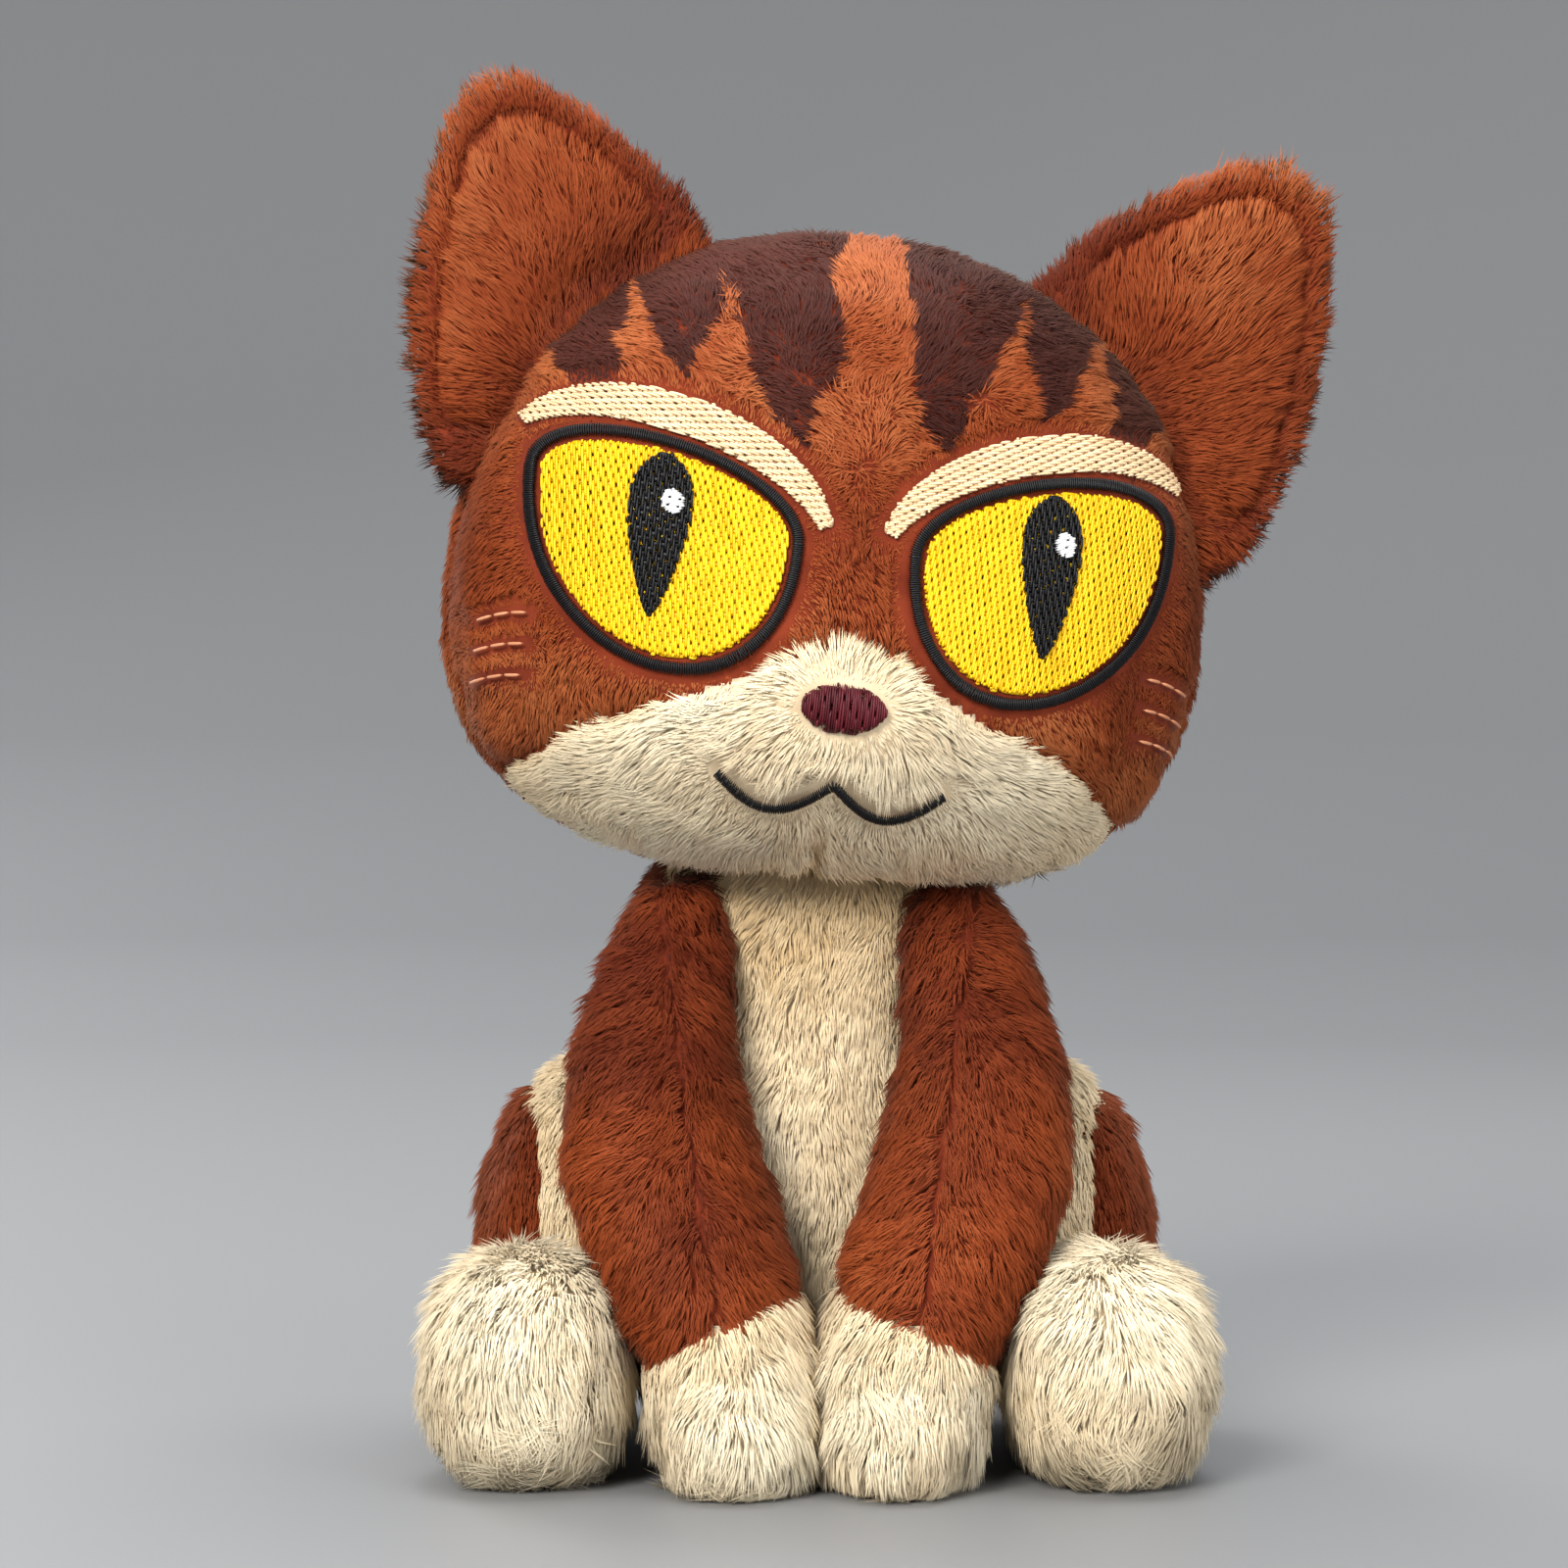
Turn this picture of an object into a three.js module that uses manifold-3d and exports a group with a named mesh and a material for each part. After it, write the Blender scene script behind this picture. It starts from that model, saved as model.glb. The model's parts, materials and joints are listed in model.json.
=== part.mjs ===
// A seated plush cat, 226 mm tall: sewn pile-fabric panels over loose filling, with embroidered features.
// Millimetres, +Z up, the cat faces -Y. Every piece is one closed solid; neighbours keep a small seam gap.

import * as THREE from 'three';
import { mergeVertices } from 'three/addons/utils/BufferGeometryUtils.js';
import Module from 'manifold-3d';

const wasm = await Module();
wasm.setup();

// ---------------------------------------------------------------- driving dimensions

const SEAM_GAP = 0.3; // between pieces that touch
const PILE = 2.5; // a panel: knitted backing and the pile standing on it
const DEG = Math.PI / 180;

const HEAD = {
  centre: [3, -4, 150],
  roll: 6 * DEG, // the head leans to the cat's left
  turn: 4.5 * DEG, // and looks a little the same way
  halfWidth: 62.5,
  front: 41,
  back: 39,
  widest: -10, // level of the widest section, from the centre
  up: 63, // from the widest level to the crown
  down: 43, // and to the chin
  planPower: 2.35,
  crownPower: 2.15,
  chinPower: 2.7,
  seamY: -5, // side seam, where the ears are sewn in
};
const MUZZLE = { x: 0, z: -30, halfWidth: 24, halfHeight: 17, bulge: 9 };

// The upper edge of the cream muzzle panel, over x: a low ridge that peaks above the nose.
const MUZZLE_SEAM = [
  [-64, -47], [-52.5, -41.5], [-39, -32], [-25.5, -26], [-15.5, -21.5], [-7, -17], [0, -14.7],
  [7, -17], [15.5, -21.5], [25.5, -26], [39, -32], [52.5, -41.5], [64, -47],
];

const NECK = { pivot: [0, 8, 76], dome: 37, plug: 18.5, plugClearance: 1, plugFloor: 77 };

const TORSO = {
  power: 2.2,
  seatSeam: 6, // height of the seat panel's seam
  pelletTop: 18, // the bead bag fills the torso up to here
  sideSeam: 8, // the y where the chest panel ends
  chestEdge: [[24, 115], [24, 97], [14.5, 81], [15, 55], [18, 0]], // x, z of its right edge
  stations: [
    // height, middle y, half width, half depth
    [0, 14, 25, 24],
    [7, 14, 30.5, 30],
    [26, 13, 32.5, 32],
    [48, 11, 32, 29],
    [68, 9, 31, 25],
    [83, 8, 30.5, 22],
    [93, 8, 30, 21.5],
    [99, 8, 26, 19.5],
    [104, 8, 20, 17],
    [109, 8, 9, 9],
  ],
};

const FRONT_LEG = {
  pawSeam: { inner: [3, 33], outer: [29, 20.5] }, // x, z of the slanted paw seam
  sleeveSeam: { top: [26, 92], bottom: [15, 18] }, // x, z of the seam down the sleeve
  stations: [
    // height, x, y, half width, half depth
    [0, 12.4, -45, 8.5, 12],
    [5, 12.6, -45, 10.8, 16],
    [11, 13.2, -44.5, 11.8, 17],
    [21, 14.8, -41.5, 12.8, 16.5],
    [34, 19.7, -37, 14.9, 15.5],
    [49, 23.6, -31, 15.3, 14],
    [67, 25.6, -24, 12.2, 11.5],
    [80, 26, -18.5, 9.2, 7.5],
    [86, 25.8, -15.5, 6.5, 5],
    [89.5, 25.5, -14, 3, 3],
  ],
};

const HIND_LEG = {
  thigh: {
    centre: [33.3, 12, 28],
    half: [22.7, 32, 34],
    power: 2.2,
    innerFace: 33.3,
    seamX: 45,
  },
  foot: {
    centre: [46.7, -36, 17.5],
    half: [15.5, 21, 18.5],
    power: 2.3,
    opening: { low: [40, -20, 6], high: [54, 40, 26] }, // where its filling meets the thigh's
  },
};

const TAIL = {
  root: [0, 54, 17],
  tipSeam: 58, // along the tail
  stations: [
    // along the tail, sideways, downwards, half width, half height
    [-8.3, 0, 0, 1.5, 1.5],
    [-6.5, 0, 0, 5.4, 5.4],
    [-3, 0, 0, 7.9, 7.9],
    [2, 0, 0.5, 8.5, 8.5],
    [22, 1, 4, 8.8, 8.8],
    [45, 5, 7.4, 9.4, 9.4],
    [62, 9, 7.4, 9.4, 9.4],
    [73, 12, 7.8, 7.2, 7.2],
    [78, 13.5, 8, 2.5, 2.5],
  ],
};

const EAR = {
  thickness: 4.6, // of each half, at the middle
  rim: 1.2, // and at the edge
  headGap: 2.5,
  cup: { depth: 2, height: 43, middle: 28, halfLength: 30 }, // how it curls back, outwards and along its base
  // the ends of the base line in the head's own x and z, from the crown to the cheek
  base: { left: [[-27, 50.5], [-63.5, -2.5]], right: [[31.5, 52], [62.5, 0]] },
  // the outline, along the base line from its upper end and outwards from it
  outline: [
    [2, -7], [-1, 10], [-1.5, 24], [0.5, 35.5], [6, 42], [14, 42.5], [26.5, 36.5],
    [40, 27.5], [51, 16], [59, 3], [60, -8], [30, -12],
  ],
  drawnLength: 62, // of the base line that the outline is drawn on
  middle: [26, 14], // of the outline
};

const EYE = {
  x: 31.5,
  // the almond's corners and the heights of its lids, in the head's own x and z for the right eye
  inner: [11, 0],
  outer: [51, 8.5],
  lidRise: 8.5,
  lidDrop: 24,
  lidPower: 0.9,
  outlineWidth: 2.2,
  pupil: [[0, 12.5], [-4.6, 8], [-4.4, -2], [0, -14], [4.4, -2], [4.6, 8]],
  glint: { x: 2, z: 4.5, radius: 2 },
  patch: { width: 6.4, end: 0.16, swell: 0.34, power: 0.7 }, // half its width, in shares of the width
};
const NOSE = { x: 0, z: -25.5, halfWidth: 6.8, halfHeight: 3.9 };
const MOUTH = { halfWidth: 18, top: -36.8, dip: 4.6, lineWidth: 1.5 };
const WHISKER = { from: 50.5, to: 58.5, levels: [-15, -20, -25], fall: 2, halfWidth: 0.5 };

// How finely each form is faceted: columns round it and rows over it.
const FACETS = {
  head: [20, 13],
  socket: [18, 12],
  torso: [16, 10],
  plug: [10, 7],
  frontLeg: [12, 9],
  thigh: [14, 10],
  foot: [12, 9],
  tail: [10, 9],
};

const STITCH = { lift: 0.45, thickness: 0.8, layer: 1.6 };
const THREAD_ROUGHNESS = 0.5;

const COLOURS = {
  rust: 0xa5502f,
  dark: 0x4a2320,
  cream: 0xe1cdaa,
  yellow: 0xf8c81a,
  black: 0x15151a,
  white: 0xf2f2f0,
  maroon: 0x4a1118,
  tan: 0xc88260,
  thread: 0xf5dcb4,
  filling: 0xf4f3ee,
  beads: 0xd9d5c8,
};

// ---------------------------------------------------------------- solids and meshes

const object = new THREE.Group();

function solidFrom(geometry) {
  const bare = geometry.clone();
  bare.deleteAttribute('normal');
  bare.deleteAttribute('uv');
  const welded = mergeVertices(bare, 1e-4);
  const vertProperties = new Float32Array(welded.attributes.position.array);
  const triVerts = new Uint32Array(welded.index.array);
  return new wasm.Manifold(new wasm.Mesh({ numProp: 3, vertProperties, triVerts }));
}

function geometryFrom(solid) {
  const mesh = solid.getMesh();
  const geometry = new THREE.BufferGeometry();
  const points = [];
  for (let i = 0; i < mesh.vertProperties.length; i += mesh.numProp) {
    points.push(mesh.vertProperties[i], mesh.vertProperties[i + 1], mesh.vertProperties[i + 2]);
  }
  geometry.setAttribute('position', new THREE.Float32BufferAttribute(points, 3));
  geometry.setIndex(Array.from(mesh.triVerts));
  return geometry;
}

function material(colour, roughness = 0.95) {
  return new THREE.MeshStandardMaterial({ color: colour, roughness, metalness: 0 });
}

function addPiece(parent, name, shape, colour, roughness) {
  const geometry = shape.isBufferGeometry ? shape : geometryFrom(shape);
  const bare = geometry.clone();
  bare.computeVertexNormals();
  const mesh = new THREE.Mesh(bare, material(colour, roughness));
  mesh.name = name;
  parent.add(mesh);
}

// A closed geometry from a list of triangles over a list of points, turned so that its faces point out.
function closedGeometry(points, triangles) {
  const flat = points.flatMap((p) => [p.x, p.y, p.z]);
  const geometry = new THREE.BufferGeometry();
  geometry.setAttribute('position', new THREE.Float32BufferAttribute(flat, 3));
  geometry.setIndex(triangles.flat());
  const welded = mergeVertices(geometry, 1e-4);
  const index = Array.from(welded.index.array);
  const kept = [];
  let volume = 0;
  const corner = (i) => new THREE.Vector3().fromBufferAttribute(welded.attributes.position, i);
  for (let i = 0; i < index.length; i += 3) {
    const [a, b, c] = index.slice(i, i + 3);
    if (a === b || b === c || c === a) continue;
    kept.push(a, b, c);
    volume += corner(a).dot(corner(b).cross(corner(c)));
  }
  if (volume < 0) kept.reverse();
  welded.setIndex(kept);
  return welded;
}

// ---------------------------------------------------------------- shapes

// A stack of level elliptical rings through the stations, closed by a flat cap at each end.
function stack(stations, { segments = 16, rings = 12, power = 2, inset = 0 } = {}) {
  const low = stations[0][0];
  const height = stations.at(-1)[0] - low;
  const squeeze = (z) => low + inset + ((z - low) * (height - 2 * inset)) / height;
  const middles = stations.map(([z, x, y]) => new THREE.Vector3(x, y, squeeze(z)));
  const sizes = stations.map(([, , , w, d]) => {
    return new THREE.Vector3(Math.max(w - inset, 0.4), Math.max(d - inset, 0.4), 0);
  });
  const middleCurve = new THREE.CatmullRomCurve3(middles, false, 'catmullrom', 0.5);
  const sizeCurve = new THREE.CatmullRomCurve3(sizes, false, 'catmullrom', 0.5);
  const points = [];
  const triangles = [];
  for (let j = 0; j <= rings; j++) {
    const middle = middleCurve.getPoint(j / rings);
    const size = sizeCurve.getPoint(j / rings);
    for (let i = 0; i < segments; i++) {
      const angle = (i / segments) * 2 * Math.PI;
      const cos = Math.cos(angle);
      const sin = Math.sin(angle);
      const x = size.x * Math.sign(cos) * Math.abs(cos) ** (2 / power);
      const y = size.y * Math.sign(sin) * Math.abs(sin) ** (2 / power);
      points.push(new THREE.Vector3(middle.x + x, middle.y + y, middle.z));
    }
  }
  for (let j = 0; j < rings; j++) {
    for (let i = 0; i < segments; i++) {
      const next = (i + 1) % segments;
      const a = j * segments + i;
      const b = j * segments + next;
      triangles.push([a, b, b + segments], [a, b + segments, a + segments]);
    }
  }
  const foot = points.push(middleCurve.getPoint(0)) - 1;
  const top = points.push(middleCurve.getPoint(1)) - 1;
  const lastRing = rings * segments;
  for (let i = 0; i < segments; i++) {
    const next = (i + 1) % segments;
    triangles.push([foot, next, i], [top, lastRing + i, lastRing + next]);
  }
  return closedGeometry(points, triangles);
}

// A unit sphere with its poles up and down, each of whose points is moved by place().
function shapedSphere(place, columns, rows) {
  const sphere = new THREE.SphereGeometry(1, columns, rows);
  sphere.rotateX(Math.PI / 2);
  const position = sphere.attributes.position;
  for (let i = 0; i < position.count; i++) {
    const moved = place(new THREE.Vector3().fromBufferAttribute(position, i));
    position.setXYZ(i, moved.x, moved.y, moved.z);
  }
  return sphere;
}

function ball(centre, radius, columns, rows) {
  const middle = new THREE.Vector3(...centre);
  return shapedSphere((d) => d.multiplyScalar(radius).add(middle), columns, rows);
}

// A blob with half sizes along X, Y and Z, squarer than an ellipsoid as power passes 2, flat on the floor.
function blob(centre, half, power, [columns, rows], inset) {
  const middle = new THREE.Vector3(...centre);
  const place = (d) => {
    const [a, b, c] = half.map((h) => h - inset);
    const sum = Math.abs(d.x / a) ** power + Math.abs(d.y / b) ** power + Math.abs(d.z / c) ** power;
    const moved = d.clone().multiplyScalar(sum ** (-1 / power)).add(middle);
    moved.z = Math.max(moved.z, inset);
    return moved;
  };
  return shapedSphere(place, columns, rows);
}

// A prism over an outline in X and Z, running from one y to another.
function prismY(outline, fromY, toY) {
  const shape = new THREE.Shape(outline.map(([x, z]) => new THREE.Vector2(x, z)));
  const prism = new THREE.ExtrudeGeometry(shape, { depth: toY - fromY, bevelEnabled: false });
  prism.rotateX(Math.PI / 2);
  prism.translate(0, toY, 0);
  return solidFrom(prism);
}

function box(low, high) {
  const size = high.map((h, i) => h - low[i]);
  const geometry = new THREE.BoxGeometry(...size);
  geometry.translate(...high.map((h, i) => (h + low[i]) / 2));
  return solidFrom(geometry);
}

const FAR = 300; // past everything

// ---------------------------------------------------------------- head

// The group turns with the head, so everything on it is placed in the head's own frame.
const headRoll = new THREE.Group();
headRoll.position.set(...HEAD.centre);
headRoll.rotation.y = HEAD.roll;
const head = new THREE.Group();
head.rotation.z = HEAD.turn;
headRoll.add(head);
object.add(headRoll);
headRoll.updateMatrixWorld(true);

function inHeadFrame(point) {
  return head.worldToLocal(new THREE.Vector3(...point));
}

function muzzleBulge(x, z) {
  const across = (x - MUZZLE.x) / MUZZLE.halfWidth;
  const along = (z - MUZZLE.z) / MUZZLE.halfHeight;
  return MUZZLE.bulge * Math.exp(-(across * across) - along * along);
}

function headSizes(up, front, inset) {
  return {
    a: HEAD.halfWidth - inset,
    b: (up ? HEAD.up : HEAD.down) - inset,
    c: (front ? HEAD.front : HEAD.back) - inset,
    p: up ? HEAD.crownPower : HEAD.chinPower,
  };
}

function headForm(inset) {
  const place = (d) => {
    const { a, b, c, p } = headSizes(d.z > 0, d.y < 0, inset);
    const q = HEAD.planPower;
    const level = Math.max(Math.hypot(d.x, d.y), 1e-9);
    const plan = (Math.abs(d.x / level / a) ** q + Math.abs(d.y / level / c) ** q) ** (-1 / q);
    const reach = (level ** p + Math.abs(d.z) ** p) ** (-1 / p);
    const radius = plan * reach * level;
    const x = (radius * d.x) / level;
    const z = b * reach * d.z + HEAD.widest;
    const y = (radius * d.y) / level;
    const frontness = Math.min(Math.max(-y / (0.5 * c), 0), 1);
    return new THREE.Vector3(x, y - frontness * muzzleBulge(x, z), z);
  };
  return solidFrom(shapedSphere(place, ...FACETS.head));
}

// The front of the head over x and z in its own frame.
function faceY(x, z) {
  const rise = z - HEAD.widest;
  const { a, b, c, p } = headSizes(rise > 0, true, 0);
  const q = HEAD.planPower;
  const level = Math.max(1 - Math.abs(rise / b) ** p, 1e-6) ** (1 / p);
  const across = Math.min(Math.abs(x / (a * level)) ** q, 0.9999);
  const plain = -c * level * (1 - across) ** (1 / q);
  const frontness = Math.min(-plain / (0.5 * c), 1);
  return plain - frontness * muzzleBulge(x, z);
}

function onFace([x, z], lift) {
  const step = 0.2;
  const slopeX = (faceY(x + step, z) - faceY(x - step, z)) / (2 * step);
  const slopeZ = (faceY(x, z + step) - faceY(x, z - step)) / (2 * step);
  const out = new THREE.Vector3(slopeX, -1, slopeZ).normalize();
  return new THREE.Vector3(x, faceY(x, z), z).addScaledVector(out, lift);
}

const socketCentre = inHeadFrame(NECK.pivot).toArray();
const socket = solidFrom(ball(socketCentre, NECK.dome, ...FACETS.socket));
const headShell = headForm(0).subtract(headForm(PILE)).subtract(socket);
const halfGap = SEAM_GAP / 2;
const shifted = (outline, dz) => outline.map(([x, z]) => [x, z + dz]);
const seamEnd = MUZZLE_SEAM[0][1];
const levelEnds = (outline) => [[-FAR, seamEnd], ...outline, [FAR, seamEnd]];
const aboveSeam = [...levelEnds(shifted(MUZZLE_SEAM, halfGap)), [FAR, FAR], [-FAR, FAR]];
const belowSeam = [[-FAR, -FAR], [FAR, -FAR], ...levelEnds(shifted(MUZZLE_SEAM, -halfGap)).reverse()];
const faceRegion = prismY(aboveSeam, -FAR, HEAD.seamY - halfGap);
const muzzleRegion = prismY(belowSeam, -FAR, HEAD.seamY - halfGap);

addPiece(head, 'face_panel', headShell.intersect(faceRegion), COLOURS.rust);
addPiece(head, 'muzzle_panel', headShell.intersect(muzzleRegion), COLOURS.cream);
for (const [name, side] of [['left', -1], ['right', 1]]) {
  const near = side * halfGap;
  const low = [Math.min(near, side * FAR), HEAD.seamY + halfGap, -FAR];
  const high = [Math.max(near, side * FAR), FAR, FAR];
  addPiece(head, `head_back_${name}`, headShell.intersect(box(low, high)), COLOURS.rust);
}
const headFilling = headForm(PILE + 2 * SEAM_GAP).subtract(socket);
addPiece(head, 'head_filling', headFilling, COLOURS.filling);

// ---------------------------------------------------------------- ears

// A slab over a grid of points in a plane: place(point, lift) puts each one in space.
// The grid's rows run from one edge to the other, and close on themselves when closed is true.
function slab(grid, closed, place, lower, upper) {
  const count = grid.length;
  const across = grid[0].length;
  const points = [];
  for (const lift of [lower, upper]) {
    for (const row of grid) {
      row.forEach((point, j) => points.push(place(point, lift(j / (across - 1)))));
    }
  }
  const at = (layer, i, j) => (layer * count + (i % count)) * across + j;
  const triangles = [];
  const quad = (a, b, c, d) => triangles.push([a, b, c], [a, c, d]);
  const spans = closed ? count : count - 1;
  for (let i = 0; i < spans; i++) {
    for (let j = 0; j < across - 1; j++) {
      quad(at(1, i, j), at(1, i, j + 1), at(1, i + 1, j + 1), at(1, i + 1, j));
      quad(at(0, i, j), at(0, i + 1, j), at(0, i + 1, j + 1), at(0, i, j + 1));
    }
    quad(at(1, i, 0), at(1, i + 1, 0), at(0, i + 1, 0), at(0, i, 0));
    quad(at(0, i, across - 1), at(0, i + 1, across - 1), at(1, i + 1, across - 1), at(1, i, across - 1));
  }
  if (!closed) {
    for (let j = 0; j < across - 1; j++) {
      quad(at(0, 0, j), at(0, 0, j + 1), at(1, 0, j + 1), at(1, 0, j));
      const end = count - 1;
      quad(at(1, end, j), at(1, end, j + 1), at(0, end, j + 1), at(0, end, j));
    }
  }
  return closedGeometry(points, triangles);
}

// A disc fills a closed outline from its middle, in rings.
function discGrid(outline, middle, rings) {
  return outline.map(([x, z]) => {
    const row = [];
    for (let j = 0; j <= rings; j++) {
      row.push([middle[0] + ((x - middle[0]) * j) / rings, middle[1] + ((z - middle[1]) * j) / rings]);
    }
    return row;
  });
}

// A disc's wall at the middle has no height, so only its outer edge is walled.
function disc(outline, middle, rings, place, lower, upper) {
  const grid = discGrid(outline, middle, rings);
  const count = grid.length;
  const points = [];
  for (const lift of [lower, upper]) {
    for (const row of grid) {
      row.slice(1).forEach((point, j) => points.push(place(point, lift((j + 1) / rings))));
    }
    points.push(place(middle, lift(0)));
  }
  const layerSize = count * rings + 1;
  const at = (layer, i, j) => layer * layerSize + (j === 0 ? count * rings : (i % count) * rings + j - 1);
  const triangles = [];
  for (let i = 0; i < count; i++) {
    triangles.push([at(1, i, 0), at(1, i, 1), at(1, i + 1, 1)], [at(0, i, 0), at(0, i + 1, 1), at(0, i, 1)]);
    for (let j = 1; j < rings; j++) {
      triangles.push([at(1, i, j), at(1, i, j + 1), at(1, i + 1, j + 1)]);
      triangles.push([at(1, i, j), at(1, i + 1, j + 1), at(1, i + 1, j)]);
      triangles.push([at(0, i, j), at(0, i + 1, j), at(0, i + 1, j + 1)]);
      triangles.push([at(0, i, j), at(0, i + 1, j + 1), at(0, i, j + 1)]);
    }
    const a = at(0, i, rings);
    const b = at(0, i + 1, rings);
    triangles.push([a, b, at(1, i + 1, rings)], [a, at(1, i + 1, rings), at(1, i, rings)]);
  }
  return closedGeometry(points, triangles);
}

function smoothOutline(corners, count) {
  const curve = new THREE.CatmullRomCurve3(corners.map(([x, z]) => new THREE.Vector3(x, 0, z)), true);
  return curve.getPoints(count).slice(0, count).map((p) => [p.x, p.z]);
}

const headClearance = headForm(-EAR.headGap);
for (const [name, base] of Object.entries(EAR.base)) {
  const start = new THREE.Vector2(...base[0]);
  const along = new THREE.Vector2(...base[1]).sub(start);
  const stretch = along.length() / EAR.drawnLength;
  along.normalize();
  const side = name === 'left' ? -1 : 1;
  const out = new THREE.Vector2(-along.y, along.x).multiplyScalar(side);
  const outline = smoothOutline(EAR.outline, 18);
  const earPlace = ([a, o], lift) => {
    const x = start.x + along.x * a * stretch + out.x * o;
    const z = start.y + along.y * a * stretch + out.y * o;
    const curl = (o / EAR.cup.height) ** 2 + ((a - EAR.cup.middle) / EAR.cup.halfLength) ** 2;
    const cup = EAR.cup.depth * curl;
    return new THREE.Vector3(x, HEAD.seamY - cup - lift, z);
  };
  const pillow = (t) => EAR.rim + (EAR.thickness - EAR.rim) * Math.sqrt(1 - t * t);
  const front = disc(outline, EAR.middle, 2, earPlace, () => halfGap, pillow);
  const back = disc(outline, EAR.middle, 2, earPlace, (t) => -pillow(t), () => -halfGap);
  addPiece(head, `ear_${name}_front`, solidFrom(front).subtract(headClearance), COLOURS.rust);
  addPiece(head, `ear_${name}_back`, solidFrom(back).subtract(headClearance), COLOURS.rust);
}

// ---------------------------------------------------------------- embroidery

// A band of even width along a line on the face, wide stretches in several strips.
function band(line, halfWidth, closed, strips = 1) {
  const count = line.length;
  return line.map(([x, z], i) => {
    const before = line[closed ? (i + count - 1) % count : Math.max(i - 1, 0)];
    const after = line[closed ? (i + 1) % count : Math.min(i + 1, count - 1)];
    const run = new THREE.Vector2(after[0] - before[0], after[1] - before[1]).normalize();
    const width = halfWidth(i / (count - 1));
    const row = [];
    for (let j = 0; j <= strips; j++) {
      const shift = width * ((2 * j) / strips - 1);
      row.push([x - run.y * shift, z + run.x * shift]);
    }
    return row;
  });
}

function stitched(grid, closed, layer = 0) {
  const low = STITCH.lift + layer * STITCH.layer;
  return slab(grid, closed, onFace, () => low, () => low + STITCH.thickness);
}

function stitchedDisc(outline, middle, rings, layer = 0) {
  const low = STITCH.lift + layer * STITCH.layer;
  return disc(outline, middle, rings, onFace, () => low, () => low + STITCH.thickness);
}

// The almond of an eye, anticlockwise from its inner corner along the lower lid, grown outwards by grow.
function almond(count, grow) {
  const [innerX, innerZ] = EYE.inner;
  const [outerX, outerZ] = EYE.outer;
  const midX = (innerX + outerX) / 2;
  const midZ = (innerZ + outerZ) / 2;
  const halfWidth = (outerX - innerX) / 2 + grow;
  const slope = (outerZ - innerZ) / (outerX - innerX);
  const points = [];
  for (let i = 0; i < count; i++) {
    const angle = Math.PI + (i / count) * 2 * Math.PI;
    const across = halfWidth * Math.cos(angle);
    const lid = Math.sin(angle) > 0 ? EYE.lidRise + grow : EYE.lidDrop + grow;
    const rise = lid * Math.sign(Math.sin(angle)) * Math.abs(Math.sin(angle)) ** EYE.lidPower;
    points.push([midX + across, midZ + slope * across + rise]);
  }
  return points;
}

const mirrored = (points, side) => points.map(([x, z]) => [x * side, z]);

for (const [name, side] of [['left', -1], ['right', 1]]) {
  const clear = EYE.outlineWidth / 2 + 1.5 * SEAM_GAP;
  const iris = mirrored(almond(18, 0), side);
  const outline = mirrored(almond(20, clear), side);
  const patchLine = almond(26, clear * 2 + EYE.patch.width / 2 + SEAM_GAP).slice(15, 26);
  const pupil = smoothOutline(EYE.pupil, 12).map(([x, z]) => [side * (EYE.x + x), z]);
  const glintMiddle = [side * EYE.x + EYE.glint.x, EYE.glint.z];
  const r = EYE.glint.radius;
  const glint = smoothOutline([[r, 0], [0, r], [-r, 0], [0, -r]], 8)
    .map(([x, z]) => [glintMiddle[0] + x, glintMiddle[1] + z]);
  const { width, end, swell, power } = EYE.patch;
  const patchHalfWidth = (t) => width * (end + swell * Math.sin(Math.PI * t) ** power);
  const patch = band(mirrored(patchLine, side), patchHalfWidth, false, 2);
  const line = band(outline, () => EYE.outlineWidth / 2, true);
  const features = {
    patch: [stitched(patch, false), COLOURS.thread],
    iris: [stitchedDisc(iris, [side * EYE.x, -1], 3), COLOURS.yellow],
    outline: [stitched(line, true), COLOURS.black],
    pupil: [stitchedDisc(pupil, [side * EYE.x, 0], 2, 1), COLOURS.black],
    glint: [stitchedDisc(glint, glintMiddle, 1, 2), COLOURS.white],
  };
  for (const [feature, [shape, colour]] of Object.entries(features)) {
    addPiece(head, `eye_${name}_${feature}`, shape, colour, THREAD_ROUGHNESS);
  }
}

const noseOutline = smoothOutline(
  [[NOSE.halfWidth, 0], [0, NOSE.halfHeight], [-NOSE.halfWidth, 0], [0, -NOSE.halfHeight]], 12,
).map(([x, z]) => [NOSE.x + x, NOSE.z + z]);
addPiece(head, 'nose', stitchedDisc(noseOutline, [NOSE.x, NOSE.z], 2), COLOURS.maroon, THREAD_ROUGHNESS);

const mouthLine = [];
for (let i = 0; i <= 20; i++) {
  const x = -MOUTH.halfWidth + (i / 20) * 2 * MOUTH.halfWidth;
  const wave = Math.sin((Math.PI * Math.abs(x)) / MOUTH.halfWidth);
  mouthLine.push([x, MOUTH.top - MOUTH.dip * wave]);
}
const mouth = stitched(band(mouthLine, () => MOUTH.lineWidth / 2, false), false);
addPiece(head, 'mouth', mouth, COLOURS.black, THREAD_ROUGHNESS);

for (const [name, side] of [['left', -1], ['right', 1]]) {
  WHISKER.levels.forEach((level, k) => {
    const line = [];
    for (let i = 0; i <= 6; i++) {
      const x = WHISKER.from + ((WHISKER.to - WHISKER.from) * i) / 6;
      line.push([side * x, level - WHISKER.fall * (i / 6) ** 2]);
    }
    const strip = stitched(band(line, () => WHISKER.halfWidth, false), false);
    addPiece(head, `whisker_${name}_${k + 1}`, strip, COLOURS.tan, THREAD_ROUGHNESS);
  });
}

// ---------------------------------------------------------------- torso and neck

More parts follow.
